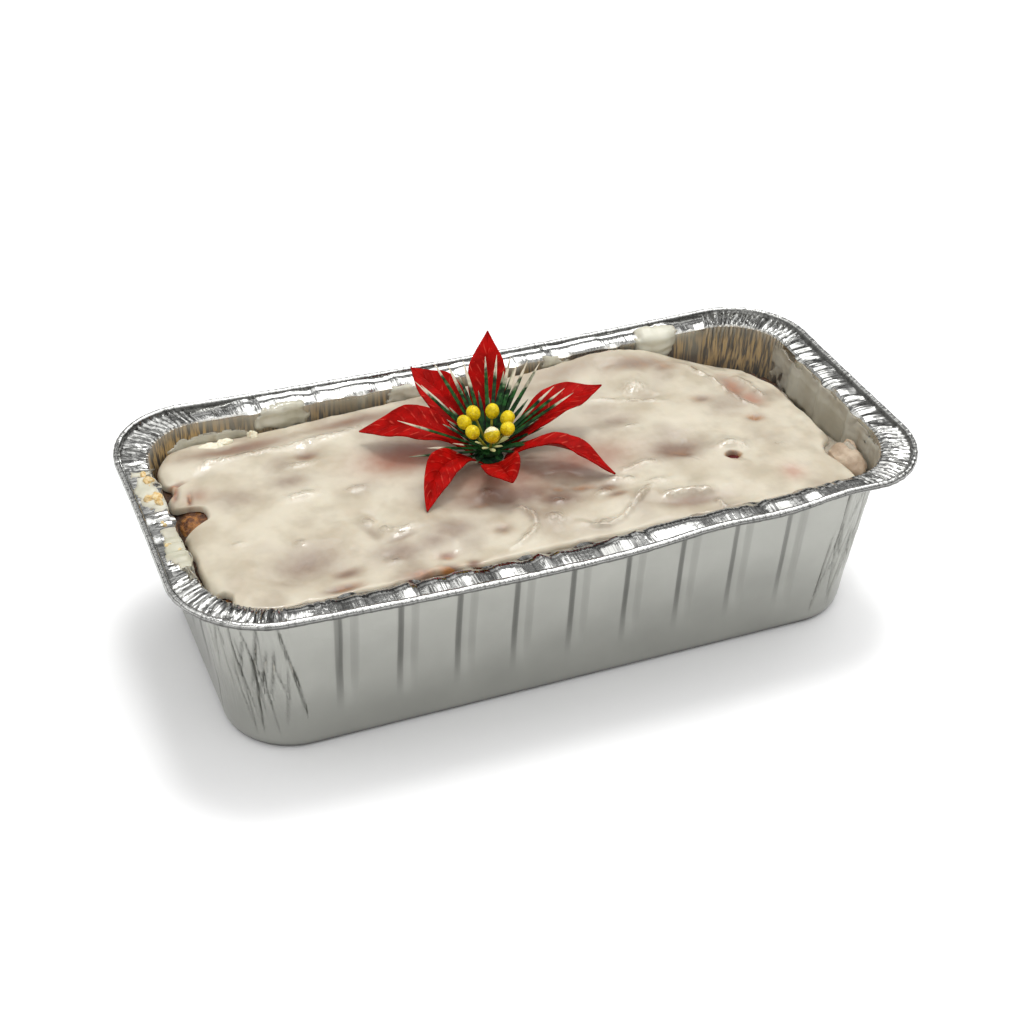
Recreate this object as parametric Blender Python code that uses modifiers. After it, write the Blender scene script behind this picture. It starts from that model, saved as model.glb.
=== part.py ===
"""Iced cranberry loaf cake in its foil tin, with a plastic poinsettia on top.

Metres, +Z up. The long side runs along X and the front faces -Y. The tin stands on Z = 0, and the
origin is under the middle of its rim.
"""
import math
import random

import bmesh
import bpy
from mathutils import Vector

MM = 0.001
GAP = 0.35 * MM                     # clear space left between two touching pieces

# --- foil tin -----------------------------------------------------------------------------------
RIM_LENGTH, RIM_WIDTH, RIM_CORNER = 213.6 * MM, 103.4 * MM, 24.3 * MM      # middle of the rolled bead
BASE_LENGTH, BASE_WIDTH, BASE_CORNER = 186.4 * MM, 82.6 * MM, 19.2 * MM
FLANGE_WIDTH = 7.8 * MM             # wall to the middle of the bead
WALL_CORNER = 19.0 * MM             # corner radius where the wall meets the flange
FLANGE_LEVEL = 53.0 * MM
BEAD_LEVEL = 53.4 * MM
BEAD_RADIUS = 1.2 * MM
FOIL = 0.4 * MM                     # drawn thickness of the foil
BASE_FILLET = 3.5 * MM
FLUTE_PITCH, FLUTE_FLOOR_HALF, FLUTE_EDGE_HALF = 16.1 * MM, 1.0 * MM, 2.9 * MM
FLUTE_DEPTH = 0.8 * MM              # the flutes are pressed inwards
FLUTE_FULL_LEVEL, FLUTE_END_LEVEL = 24.0 * MM, 14.0 * MM
LONG_SIDE_FLUTES, SHORT_SIDE_FLUTES = 9, 3
PLEATS_PER_CORNER = 6
PLEAT_DEPTH = 0.35 * MM

# how the soft rim is bent: the long sides bow forwards, the ends are pressed in, the middles sag
FRONT_BOW, BACK_BOW = -1.5 * MM, -1.5 * MM
LEFT_PRESS, RIGHT_PRESS = 1.2 * MM, -0.9 * MM
FRONT_SAG, BACK_SAG, LEFT_SAG, RIGHT_SAG = -2.7 * MM, -1.3 * MM, -1.0 * MM, 0.2 * MM
FRONT_WAVES = ((75 * MM, 16 * MM, 2.4 * MM), (35 * MM, 18 * MM, 2.0 * MM))   # place, width, height

# --- cake and icing -----------------------------------------------------------------------------
CAKE_CLEARANCE = 0.95 * MM          # cake to the inside of the wall
CAKE_LEVEL = 47.0 * MM              # crust height before the dome and the lumps
DOME_RISE = 2.0 * MM
CAKE_CELLS = (40, 20)
ICING_CELLS = (38, 19)
ICING_GAP = 0.70 * MM               # icing to crust, so that the two faceted solids stay apart
ICING_THICKNESS, ICING_EDGE_THICKNESS = 1.1 * MM, 0.6 * MM
ICING_LIP = 5.0 * MM                # width over which the icing thins to its edge

# broad swells and falls of the crust: x, y, reach in x, reach in y, rise (all mm)
SWELLS = (
    (-72, 46, 30, 13, -3.6),        # back left shoulder
    (-30, 47, 24, 9, -1.6),         # back middle shoulder
    (44, 42, 17, 12, 3.2),          # crown against the back rim
    (88, 42, 20, 16, -9.0),         # back right corner, well below the rim
    (99, 4, 12, 30, -8.0),          # right end
    (97, -40, 13, 14, -4.5),        # front right corner
    (-99, 4, 5, 14, -3.0),          # left end, past the bare patch
    (-99, -32, 4, 8, -5.0),         # dark gap at the front left
)
# smaller lumps (rise > 0) and dimples (rise < 0) over the fruit: x, y, reach in x, reach in y, rise
LUMPS = (
    (-73, -28, 9, 8, -1.2),
    (-85, -25, 6, 9, 0.7),
    (-61, -32, 4, 3, -0.7),
    (-62, -18, 10, 4, 0.6),
    (-56, 22, 4, 4, -0.8),
    (-64, 9, 5, 4, 0.7),
    (-47, -14, 4, 7, -1.2),
    (-38, -22, 8, 7, 0.9),
    (-33, -37, 5, 4, -0.9),
    (-16, -15, 4, 3, 0.9),
    (-12, -33, 7, 6, 0.8),
    (8, -17, 7, 4, -0.7),
    (20, -29, 9, 3, 0.9),
    (34, 9, 9, 6, -0.6),
    (46, 25, 5, 4, 1.3),
    (47, -8, 9, 6, -1.1),
    (41, -31, 9, 3, 0.8),
    (58, -14, 5, 3, 0.8),
    (66, 30, 8, 5, 1.0),
    (76, 15, 4, 10, -1.2),
    (-83, 26, 12, 4, 0.8),
    (-48, 28, 14, 4, 0.6),
)
# where the icing stops short of the wall: side, place along it, reach, extra set-back (mm)
ICING_SETBACK = {"front": 1.2, "back": 1.6, "left": 1.0, "right": 5.8}
ICING_BAYS = (
    ("left", 3, 5, 8.5),            # bare crust at the left end
    ("left", 19, 3.5, 2.5),
    ("left", -33, 5, 3.0),
    ("front", -36, 8, 2.5),
    ("right", -28, 10, 9.0),        # chunk of cake past the icing
    ("right", 24, 10, 4.0),
    ("back", 78, 14, 3.0),
    ("back", -45, 16, 0.8),
)
# broken chunk of cake that stands at the right end: x, y, reach in x, reach in y, rise (mm)
END_CHUNK = (92.5, -25, 3.2, 5.0, 5.0)

# --- poinsettia ---------------------------------------------------------------------------------
FLOWER_X, FLOWER_Y = -9.0 * MM, 0.5 * MM
CALYX_RADIUS, CALYX_HEIGHT = 4.0 * MM, 1.2 * MM
BRACT_ROOT = 4.6 * MM               # distance of a bract's root from the stem line
BRACT_ROOT_WIDTH, BRACT_TIP_WIDTH = 2.2 * MM, 0.5 * MM
BRACT_THICKNESS = 0.4 * MM
BRACT_ROWS, BRACT_COLUMNS = 12, 4
CORE_RADIUS, CORE_HEIGHT = 3.6 * MM, 1.8 * MM
NEEDLE_RADIUS = 0.6 * MM
BERRY_COUNT, FIRST_BERRY_BEARING = 7, 55
BERRY_RADIUS, BERRY_STRETCH = 1.95 * MM, 1.2
BERRY_RING, BERRY_RISE = 6.2 * MM, 6.8 * MM       # berry centres, from the foot of their stems
BERRY_LEAN = -0.8 * MM              # the whole bunch leans a little to the left
STEM_RING, STEM_RADIUS = 1.8 * MM, 0.45 * MM

# bract: bearing and length of its tip seen from above, tip height, arch, widest (mm), fold, roll (deg),
# sideways bow of its middle (mm)
BRACTS = {
    "bract_back": (70, 30.5, 22.0, 1.0, 10.8, 18, 0, 0.3),
    "bract_back_left": (109, 34.5, 12.0, 2.5, 11.5, 22, -22, -1.2),
    "bract_left": (147, 37.0, 2.2, 6.0, 12.2, 14, -16, 0),
    "bract_front_left": (217, 31.5, -0.4, 5.4, 8.6, 26, -26, -3.6),
    "bract_front": (262, 25.5, 8.0, 2.0, 10.6, 34, 20, 0),
    "bract_front_right": (326, 35.5, -0.4, 6.4, 9.5, 26, -12, 0),
    "bract_right": (11, 37.5, 11.0, 3.4, 11.5, 20, 6, 0.8),
}
# needles: rise (deg), length and height of their root in the core (mm), bearings (deg)
NEEDLE_TIERS = (
    (8, 21.0, 1.1, (178, 292, 345)),
    (20, 26.0, 1.0, (160, 188)),
    (27, 28.0, 0.7, (352, 4, 12, 20, 123, 212)),
    (37, 28.5, 0.2, (32, 42, 48, 54, 64, 72, 88, 100, 111, 134)),
)

MATERIALS = {                       # base colour, metallic, roughness
    "foil": ((0.72, 0.72, 0.71), 1.0, 0.32),
    "crust": ((0.42, 0.20, 0.08), 0.0, 0.85),
    "icing": ((0.83, 0.76, 0.68), 0.0, 0.28),
    "bract_red": ((0.62, 0.015, 0.02), 0.0, 0.42),
    "berry_yellow": ((0.80, 0.58, 0.02), 0.0, 0.35),
    "needle_green": ((0.03, 0.12, 0.05), 0.0, 0.45),
}


def clamp(value, low=0.0, high=1.0):
    """The value, kept between two limits."""
    return max(low, min(high, value))


def blend(start, end, share):
    """Straight blend from start to end."""
    return start + (end - start) * share


def bell(x, y, centre_x, centre_y, reach_x, reach_y):
    """Smooth round swell of height 1 about a centre."""
    return math.exp(-((x - centre_x) / reach_x) ** 2 - ((y - centre_y) / reach_y) ** 2)


# --- outline of the tin -------------------------------------------------------------------------
def rounded_rectangle(u, v, half_x, half_y, corner):
    """Point of a rounded rectangle and its outward direction, for a point of the unit square's edge."""
    x, y = u * half_x, v * half_y
    centre_x, centre_y = half_x - corner, half_y - corner
    if abs(x) > centre_x and abs(y) > centre_y:
        centre = Vector((math.copysign(centre_x, x), math.copysign(centre_y, y)))
        normal = (Vector((x, y)) - centre).normalized()
        return centre + normal * corner, normal
    normal = Vector((math.copysign(1, u), 0)) if abs(u) >= abs(v) else Vector((0, math.copysign(1, v)))
    return Vector((x, y)), normal


def rim_bend(x, y):
    """How far the bent rim stands from its true outline at a point of its plan."""
    along, across = x / (RIM_LENGTH / 2), y / (RIM_WIDTH / 2)
    middle_x, middle_y = clamp(1 - along ** 2), clamp(1 - across ** 2)
    front, back = clamp((-across - 0.6) / 0.4), clamp((across - 0.6) / 0.4)
    left, right = clamp((-along - 0.8) / 0.2), clamp((along - 0.8) / 0.2)
    shift_x = middle_y * (LEFT_PRESS * left + RIGHT_PRESS * right)
    shift_y = middle_x * (FRONT_BOW * front + BACK_BOW * back)
    sag = middle_x * (FRONT_SAG * front + BACK_SAG * back) + middle_y * (LEFT_SAG * left + RIGHT_SAG * right)
    for place, width, height in FRONT_WAVES:
        sag += front * height * math.exp(-((x - place) / width) ** 2)
    return Vector((shift_x, shift_y, sag))


def bent(x, y, z, sagging=True):
    """A point of the tin or of the cake's side, moved with the bent rim: not at the base, fully at the rim."""
    share = clamp(z / BEAD_LEVEL)
    bend = rim_bend(x, y) * share
    return Vector((x + bend.x, y + bend.y, z + (bend.z if sagging else 0.0)))


def wall_size(level):
    """Half length, half width and corner radius of the tin's outer wall at a height."""
    share = level / FLANGE_LEVEL
    return (blend(BASE_LENGTH / 2, RIM_LENGTH / 2 - FLANGE_WIDTH, share),
            blend(BASE_WIDTH / 2, RIM_WIDTH / 2 - FLANGE_WIDTH, share),
            blend(BASE_CORNER, WALL_CORNER, share))


def flute_places(count):
    """Centres of the flutes of one side."""
    return [(index - (count - 1) / 2) * FLUTE_PITCH for index in range(count)]


def side_stations(count):
    """Places along one side, each with how far it is pressed in with its flute (0 or 1)."""
    stations = []
    for centre in flute_places(count):
        stations += [(centre - FLUTE_EDGE_HALF, 0), (centre - FLUTE_FLOOR_HALF, 1),
                     (centre + FLUTE_FLOOR_HALF, 1), (centre + FLUTE_EDGE_HALF, 0)]
    return stations


def ring_points(half_x, half_y, corner, flute=0.0, pleat=0.0):
    """Plan of one ring of the tin, counter-clockwise from the front side's left end."""
    points = []
    sides = ((LONG_SIDE_FLUTES, 0, half_y), (SHORT_SIDE_FLUTES, 90, half_x),
             (LONG_SIDE_FLUTES, 180, half_y), (SHORT_SIDE_FLUTES, 270, half_x))
    corners = ((half_x - corner, -half_y + corner), (half_x - corner, half_y - corner),
               (-half_x + corner, half_y - corner), (-half_x + corner, -half_y + corner))
    steps = 2 * PLEATS_PER_CORNER
    for (count, turn, distance), (corner_x, corner_y) in zip(sides, corners):
        cos, sin = math.cos(math.radians(turn)), math.sin(math.radians(turn))
        for place, pressed in side_stations(count):
            out = distance - flute * pressed
            points.append(Vector((place * cos + out * sin, place * sin - out * cos)))
        for step in range(steps + 1):
            angle = math.radians(turn - 90 + 90 * step / steps)
            reach = corner + pleat * (step % 2)
            points.append(Vector((corner_x + reach * math.cos(angle), corner_y + reach * math.sin(angle))))
    return points


def tin_rings():
    """Rings of the closed foil shape, from the inside of the base over the rim to its underside."""
    rim = (RIM_LENGTH / 2, RIM_WIDTH / 2, RIM_CORNER)

    def grown(size, amount):
        return tuple(value + amount for value in size)

    def ring(size, level, flute=0.0, pleat=0.0):
        return [bent(point.x, point.y, level) for point in ring_points(*size, flute, pleat)]

    base_edge = grown(wall_size(0), -BASE_FILLET * 0.55)
    rings = [ring(grown(base_edge, -FOIL * 0.4), FOIL),
             ring(grown(wall_size(BASE_FILLET), -FOIL), BASE_FILLET),
             ring(grown(wall_size(FLUTE_END_LEVEL), -FOIL), FLUTE_END_LEVEL, 0.0, -PLEAT_DEPTH / 4),
             ring(grown(wall_size(FLUTE_FULL_LEVEL), -FOIL), FLUTE_FULL_LEVEL, FLUTE_DEPTH, -PLEAT_DEPTH / 2),
             ring(grown(wall_size(FLANGE_LEVEL), -FOIL), FLANGE_LEVEL, FLUTE_DEPTH, -PLEAT_DEPTH)]
    for angle in (175, 110, 50, -20, -90, -160):        # once over the rolled bead
        out = BEAD_RADIUS * math.cos(math.radians(angle))
        rise = BEAD_RADIUS * math.sin(math.radians(angle))
        rings.append(ring(grown(rim, out), BEAD_LEVEL + rise))
    rings += [ring(wall_size(FLANGE_LEVEL), FLANGE_LEVEL - FOIL, FLUTE_DEPTH, PLEAT_DEPTH),
              ring(wall_size(FLUTE_FULL_LEVEL), FLUTE_FULL_LEVEL, FLUTE_DEPTH, PLEAT_DEPTH),
              ring(wall_size(FLUTE_END_LEVEL), FLUTE_END_LEVEL, 0.0, PLEAT_DEPTH / 2),
              ring(wall_size(BASE_FILLET), BASE_FILLET),
              ring(base_edge, 0.0)]
    return rings


def loft(mesh, rings):
    """Skin over a row of closed rings of equal count, with a flat cap at each end."""
    loops = [[mesh.verts.new(point) for point in points] for points in rings]
    for lower, upper in zip(loops, loops[1:]):
        for index, vert in enumerate(lower):
            following = (index + 1) % len(lower)
            mesh.faces.new((vert, lower[following], upper[following], upper[index]))
    mesh.faces.new(reversed(loops[0]))
    mesh.faces.new(loops[-1])


# --- crust and icing surfaces -------------------------------------------------------------------
def crust_height(x, y):
    """Height of the cake's top at a point of its plan."""
    x_mm, y_mm = x / MM, y / MM
    dome = clamp(1 - (x_mm / 95) ** 2) * clamp(1 - (y_mm / 50) ** 2)
    height = CAKE_LEVEL + DOME_RISE * dome
    for centre_x, centre_y, reach_x, reach_y, rise in SWELLS + LUMPS:
        height += rise * MM * bell(x_mm, y_mm, centre_x, centre_y, reach_x, reach_y)
    return height


def chunk_height(x, y):
    """Extra height of the broken chunk at the right end, flat-topped with steep sides."""
    centre_x, centre_y, reach_x, reach_y, rise = END_CHUNK
    swell = bell(x / MM, y / MM, centre_x, centre_y, reach_x, reach_y)
    return rise * MM * clamp(1.5 * swell - 0.25)


def cake_outline(level):
    """Half length, half width and corner radius of the cake at a height."""
    half_x, half_y, corner = wall_size(level)
    inset = FOIL + CAKE_CLEARANCE
    return half_x - inset, half_y - inset, corner - inset


def icing_setback(u, v, edge):
    """How far the icing's edge stands back from the cake's at a point of the outline."""
    across = {"front": -v, "back": v, "left": -u, "right": u}
    weight = {side: clamp((value - 0.72) / 0.28) ** 2 for side, value in across.items()}
    total = sum(weight.values())
    setback = sum(weight[side] * ICING_SETBACK[side] for side in weight) / total
    for side, place, reach, extra in ICING_BAYS:
        along = (edge.x if side in ("front", "back") else edge.y) / MM
        setback += weight[side] * extra * math.exp(-((along - place) / reach) ** 2)
    return setback * MM


def lattice(mesh, cells, place):
    """Grid of cells over the unit square, each point set by place(u, v)."""
    grid = bmesh.ops.create_grid(mesh, x_segments=cells[0], y_segments=cells[1], size=1)
    for vert in grid["verts"]:
        vert.co = place(vert.co.x, vert.co.y)
    return grid["verts"]


def cake_point(u, v):
    """Point of the cake's top for a point of the unit square."""
    ring = max(abs(u), abs(v))
    if ring == 0:
        return Vector((0, 0, crust_height(0, 0)))
    edge, _ = rounded_rectangle(u / ring, v / ring, *cake_outline(CAKE_LEVEL))
    x, y = edge * ring
    height = crust_height(x, y) + chunk_height(x, y)
    point = bent(x, y, height, sagging=False)
    if ring > 0.999:                                    # the edge follows the sloping wall
        edge, _ = rounded_rectangle(u, v, *cake_outline(height))
        point = bent(edge.x, edge.y, height, sagging=False)
    return point


def icing_point(u, v, top):
    """Point of the icing's top or underside for a point of the unit square."""
    ring = max(abs(u), abs(v))
    if ring == 0:
        setback = edge_distance = 20 * MM
        x = y = 0.0
    else:
        edge, normal = rounded_rectangle(u / ring, v / ring, *cake_outline(CAKE_LEVEL))
        setback = icing_setback(u / ring, v / ring, edge)
        x, y = (edge - normal * setback) * ring
        edge_distance = (1 - ring) * abs((edge - normal * setback).dot(normal))
    height = crust_height(x, y) + ICING_GAP
    if top:
        share = clamp(edge_distance / ICING_LIP)
        rounding = math.sqrt(share * (2 - share))
        height += blend(ICING_EDGE_THICKNESS, ICING_THICKNESS, rounding)
    return bent(x, y, height, sagging=False)


# --- objects ------------------------------------------------------------------------------------
def make_material(name):
    """Principled material of one finish."""
    colour, metallic, roughness = MATERIALS[name]
    material = bpy.data.materials.new(name)
    material.use_nodes = True
    shader = material.node_tree.nodes["Principled BSDF"]
    shader.inputs["Base Color"].default_value = (*colour, 1.0)
    shader.inputs["Metallic"].default_value = metallic
    shader.inputs["Roughness"].default_value = roughness
    return material


def add_object(collection, name, mesh, material, smooth_angle=50):
    """Turn a bmesh into a named object of the part."""
    data = bpy.data.meshes.new(name)
    mesh.to_mesh(data)
    mesh.free()
    data.shade_smooth()
    data.set_sharp_from_angle(angle=math.radians(smooth_angle))
    data.materials.append(material)
    item = bpy.data.objects.new(name, data)
    collection.objects.link(item)
    return item


def build_tin(collection, material):
    """Foil tin: fluted walls, pleated corners, flat flange and rolled bead, as one closed sheet."""
    mesh = bmesh.new()
    loft(mesh, tin_rings())
    bmesh.ops.recalc_face_normals(mesh, faces=mesh.faces)
    return add_object(collection, "foil_tin", mesh, material, 30)


def build_cake(collection, material):
    """Cake: the domed, lumpy crust, carried down the sloping wall to the flat base."""
    mesh = bmesh.new()
    lattice(mesh, CAKE_CELLS, cake_point)
    floor = FOIL + GAP
    for level in (BASE_FILLET + 1 * MM, floor):
        half_x, half_y, corner = cake_outline(level)
        inset = BASE_FILLET * 0.7 if level == floor else 0.0
        border = [edge for edge in mesh.edges if edge.is_boundary]
        skirt = bmesh.ops.extrude_edge_only(mesh, edges=border)["geom"]
        top_x, top_y, top_corner = cake_outline(CAKE_LEVEL)
        for vert in (item for item in skirt if isinstance(item, bmesh.types.BMVert)):
            # the outline is star-shaped, so a rim point keeps its place along the outline
            u, v = vert.co.x / top_x, vert.co.y / top_y
            ring = max(abs(u), abs(v))
            edge, _ = rounded_rectangle(u / ring, v / ring, half_x - inset, half_y - inset, corner - inset)
            vert.co = bent(edge.x, edge.y, level, sagging=False)
    bmesh.ops.contextual_create(mesh, geom=[edge for edge in mesh.edges if edge.is_boundary])
    bmesh.ops.recalc_face_normals(mesh, faces=mesh.faces)
    return add_object(collection, "cake", mesh, material)


def build_icing(collection, material):
    """Poured icing: a lumpy skin just clear of the crust, with bays where the crust shows."""
    mesh = bmesh.new()
    lattice(mesh, ICING_CELLS, lambda u, v: icing_point(u, v, False))
    bmesh.ops.reverse_faces(mesh, faces=mesh.faces)
    under = [edge for edge in mesh.edges if edge.is_boundary]
    lattice(mesh, ICING_CELLS, lambda u, v: icing_point(u, v, True))
    over = [edge for edge in mesh.edges if edge.is_boundary and edge not in set(under)]
    bmesh.ops.bridge_loops(mesh, edges=under + over)
    bmesh.ops.recalc_face_normals(mesh, faces=mesh.faces)
    return add_object(collection, "icing", mesh, material)


def flower_level():
    """Height of the icing where the flower stands."""
    return crust_height(FLOWER_X, FLOWER_Y) + ICING_GAP + ICING_THICKNESS


def turned(profile, sides):
    """Closed turned shape about Z, from a profile of (radius, height) that starts and ends on the axis."""
    mesh = bmesh.new()
    verts = [mesh.verts.new((radius, 0, height)) for radius, height in profile]
    edges = [mesh.edges.new(pair) for pair in zip(verts, verts[1:])]
    bmesh.ops.spin(mesh, geom=verts + edges, cent=(0, 0, 0), axis=(0, 0, 1), angle=math.tau,
                   steps=sides, use_merge=True)
    bmesh.ops.remove_doubles(mesh, verts=mesh.verts, dist=0.01 * MM)
    bmesh.ops.recalc_face_normals(mesh, faces=mesh.faces)
    return mesh


def build_calyx(collection, material):
    """Flat-footed green calyx that stands on the icing and carries the flower."""
    radius, height = CALYX_RADIUS, CALYX_HEIGHT
    mesh = turned([(0, 0), (radius * 0.9, 0), (radius, height * 0.4), (radius * 0.8, height), (0, height)], 14)
    item = add_object(collection, "calyx", mesh, material)
    item.location = (FLOWER_X, FLOWER_Y, flower_level() + GAP)
    return item


def bract_point(across, along, spec):
    """Point of a bract with its root at the origin: across -1..1 over its width, along 0..1 to its tip."""
    bearing, length, tip_height, arch, width, fold, roll, bow = spec
    run = length * MM - BRACT_ROOT
    distance = BRACT_ROOT + run * along
    height = tip_height * MM * along ** 1.2 + arch * MM * math.sin(math.pi * along ** 0.85)
    shape = math.sin(math.pi * along ** 1.15) ** 1.1 if 0 < along < 1 else 0.0
    ends = blend(BRACT_ROOT_WIDTH, BRACT_TIP_WIDTH, along)
    half = ends / 2 + (width * MM - ends) / 2 * shape
    side = across * half
    tilt = math.radians(roll) * math.sin(math.pi * clamp(along * 0.9))
    lift = abs(side) * math.tan(math.radians(fold)) * shape
    ripple = 0.25 * MM * shape * math.sin(along * 11) * across
    shift = bow * MM * math.sin(math.pi * along)
    out = Vector((distance, shift + side * math.cos(tilt) - lift * math.sin(tilt),
                  height + side * math.sin(tilt) + lift * math.cos(tilt) + ripple))
    turn = math.radians(bearing)
    return Vector((out.x * math.cos(turn) - out.y * math.sin(turn),
                   out.x * math.sin(turn) + out.y * math.cos(turn), out.z))


def build_bract(collection, material, name, spec):
    """One red bract: a pointed, folded leaf from the calyx's side to its tip."""
    mesh = bmesh.new()
    lattice(mesh, (BRACT_ROWS, BRACT_COLUMNS), lambda u, v: bract_point(v, (u + 1) / 2, spec))
    bmesh.ops.triangulate(mesh, faces=mesh.faces)
    item = add_object(collection, name, mesh, material)
    item.location = (FLOWER_X, FLOWER_Y, flower_level() + GAP + CALYX_HEIGHT / 2)
    wall = item.modifiers.new("thickness", "SOLIDIFY")
    wall.thickness = BRACT_THICKNESS
    wall.offset = 0
    return item


def needle_mesh(bearing, rise, length):
    """One needle from inside the core: a slim four-sided spike, a little droopy towards its tip."""
    mesh = bmesh.new()
    bmesh.ops.create_cone(mesh, cap_ends=True, segments=4, radius1=NEEDLE_RADIUS,
                          radius2=NEEDLE_RADIUS * 0.45, depth=length)
    tilt = math.radians(90 - rise)
    for vert in mesh.verts:
        along = vert.co.z + length / 2 + CORE_RADIUS * 0.25
        x, y = vert.co.x, vert.co.y
        out = along * math.sin(tilt) + x * math.cos(tilt)
        up = along * math.cos(tilt) - x * math.sin(tilt)
        turn = math.radians(bearing)
        vert.co = (out * math.cos(turn) - y * math.sin(turn), out * math.sin(turn) + y * math.cos(turn), up)
    return mesh


def build_needles(collection, material):
    """Spray of green needles, fused on the small core that they grow from."""
    draw = random.Random(4)
    core = turned([(0, 0), (CORE_RADIUS * 0.8, 0), (CORE_RADIUS, CORE_HEIGHT * 0.5),
                   (CORE_RADIUS * 0.85, CORE_HEIGHT), (0, CORE_HEIGHT)], 12)
    item = add_object(collection, "needle_spray", core, material)
    spikes = bpy.data.collections.new("needles")
    bpy.context.scene.collection.children.link(spikes)
    for rise, length, root, bearings in NEEDLE_TIERS:
        for bearing in bearings:
            size = length * MM * draw.uniform(0.93, 1.05)
            spike = needle_mesh(bearing, rise + draw.uniform(-1.5, 1.5), size)
            bmesh.ops.translate(spike, verts=spike.verts, vec=(0, 0, root * MM))
            add_object(spikes, "needle", spike, material)
    union = item.modifiers.new("needles", "BOOLEAN")
    union.operation = "UNION"
    union.operand_type = "COLLECTION"
    union.collection = spikes
    bpy.context.view_layer.update()
    fused = bpy.data.meshes.new_from_object(item.evaluated_get(bpy.context.evaluated_depsgraph_get()))
    item.modifiers.remove(union)
    item.data = fused
    for spike in list(spikes.objects):
        bpy.data.objects.remove(spike)
    bpy.data.collections.remove(spikes)
    item.location = (FLOWER_X, FLOWER_Y, flower_level() + CALYX_HEIGHT + 2 * GAP)
    return item


def berry_mesh(reach):
    """A berry on its stem along Z, the stem's foot at the origin, as one turned shape."""
    profile = [(0, 0), (STEM_RADIUS, 0), (STEM_RADIUS * 0.8, reach - BERRY_RADIUS * BERRY_STRETCH)]
    for angle in (-55, -20, 20, 55):
        radians = math.radians(angle)
        out, rise = math.cos(radians), math.sin(radians) * BERRY_STRETCH
        profile.append((BERRY_RADIUS * out, reach + BERRY_RADIUS * rise))
    profile.append((0, reach + BERRY_RADIUS * BERRY_STRETCH))
    return turned(profile, 9)


def build_berries(collection, material):
    """Ring of yellow berries on stems that lean out from the top of the core."""
    foot_level = flower_level() + CALYX_HEIGHT + CORE_HEIGHT + 3 * GAP + 2 * STEM_RADIUS
    for index in range(BERRY_COUNT):
        bearing = math.radians(FIRST_BERRY_BEARING + 360 * index / BERRY_COUNT)
        direction = Vector((math.cos(bearing), math.sin(bearing), 0))
        axis = direction * (BERRY_RING - STEM_RING) + Vector((BERRY_LEAN, 0, BERRY_RISE))
        foot = direction * STEM_RING
        item = add_object(collection, f"berry_{index + 1}", berry_mesh(axis.length), material)
        item.location = (FLOWER_X + foot.x, FLOWER_Y + foot.y, foot_level)
        item.rotation_mode = "QUATERNION"
        item.rotation_quaternion = Vector((0, 0, 1)).rotation_difference(axis)


def centre_part(collection, tin):
    """Move every object so that the middle of the bent rim stands over the origin."""
    xs = [vert.co.x for vert in tin.data.vertices]
    ys = [vert.co.y for vert in tin.data.vertices]
    for item in collection.objects:
        item.location.x -= (min(xs) + max(xs)) / 2
        item.location.y -= (min(ys) + max(ys)) / 2


def build_loaf_cake():
    """Build every piece in its collection."""
    for item in list(bpy.data.objects):
        bpy.data.objects.remove(item, do_unlink=True)
    collection = bpy.data.collections.new("cranberry_loaf_cake")
    bpy.context.scene.collection.children.link(collection)
    finish = {name: make_material(name) for name in MATERIALS}
    tin = build_tin(collection, finish["foil"])
    build_cake(collection, finish["crust"])
    build_icing(collection, finish["icing"])
    build_calyx(collection, finish["needle_green"])
    for name, spec in BRACTS.items():
        build_bract(collection, finish["bract_red"], name, spec)
    build_needles(collection, finish["needle_green"])
    build_berries(collection, finish["berry_yellow"])
    centre_part(collection, tin)


build_loaf_cake()
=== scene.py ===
"""Looks of an iced cranberry loaf cake in its foil tin, with a plastic poinsettia on top.

Every shape is drawn in millimetres round the middle of the unbent tin, +Z up, the long side along X and
the front facing -Y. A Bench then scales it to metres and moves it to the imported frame, whose origin is
under the middle of the bent rim.
"""
import logging
import math
import random
from dataclasses import dataclass
from enum import Enum
from typing import Callable, Sequence

import bmesh
import bpy
from mathutils import Matrix, Vector, noise


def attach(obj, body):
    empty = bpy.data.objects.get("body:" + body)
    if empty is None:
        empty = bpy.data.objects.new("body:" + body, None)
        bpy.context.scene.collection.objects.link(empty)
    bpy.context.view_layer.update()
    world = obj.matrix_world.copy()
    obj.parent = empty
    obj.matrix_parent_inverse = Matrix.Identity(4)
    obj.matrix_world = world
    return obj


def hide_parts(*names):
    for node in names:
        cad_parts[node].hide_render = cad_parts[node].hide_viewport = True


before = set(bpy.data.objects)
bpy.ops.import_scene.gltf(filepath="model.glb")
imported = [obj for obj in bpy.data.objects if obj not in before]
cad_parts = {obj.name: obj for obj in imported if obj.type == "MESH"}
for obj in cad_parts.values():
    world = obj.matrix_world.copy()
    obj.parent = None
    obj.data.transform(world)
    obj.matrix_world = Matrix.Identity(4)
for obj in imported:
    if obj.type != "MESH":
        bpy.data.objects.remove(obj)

log = logging.getLogger("loaf_cake")

MM = 0.001
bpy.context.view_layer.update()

Colour = tuple[float, float, float]


class Slot(Enum):
    """Material slots of the record."""

    FOIL = "foil"
    CRUST = "crust"
    ICING = "icing"
    BRACT = "bract_red"
    BERRY = "berry_yellow"
    NEEDLE = "needle_green"


class Side(Enum):
    """Sides of the tin, counter-clockwise from the front."""

    FRONT = 0
    RIGHT = 1
    BACK = 2
    LEFT = 3

    @property
    def long(self) -> bool:
        """Whether this is a long side: the front or the back."""
        return self in (Side.FRONT, Side.BACK)


class Zone(Enum):
    """Stretches of the tin's section, from the inside of the base over the rim to its underside."""

    INSIDE_FLOOR = 0
    INSIDE_WALL = 1
    FLANGE_TOP = 2
    BEAD = 3
    FLANGE_UNDER = 4
    OUTSIDE_WALL = 5
    OUTSIDE_FLOOR = 6


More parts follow.
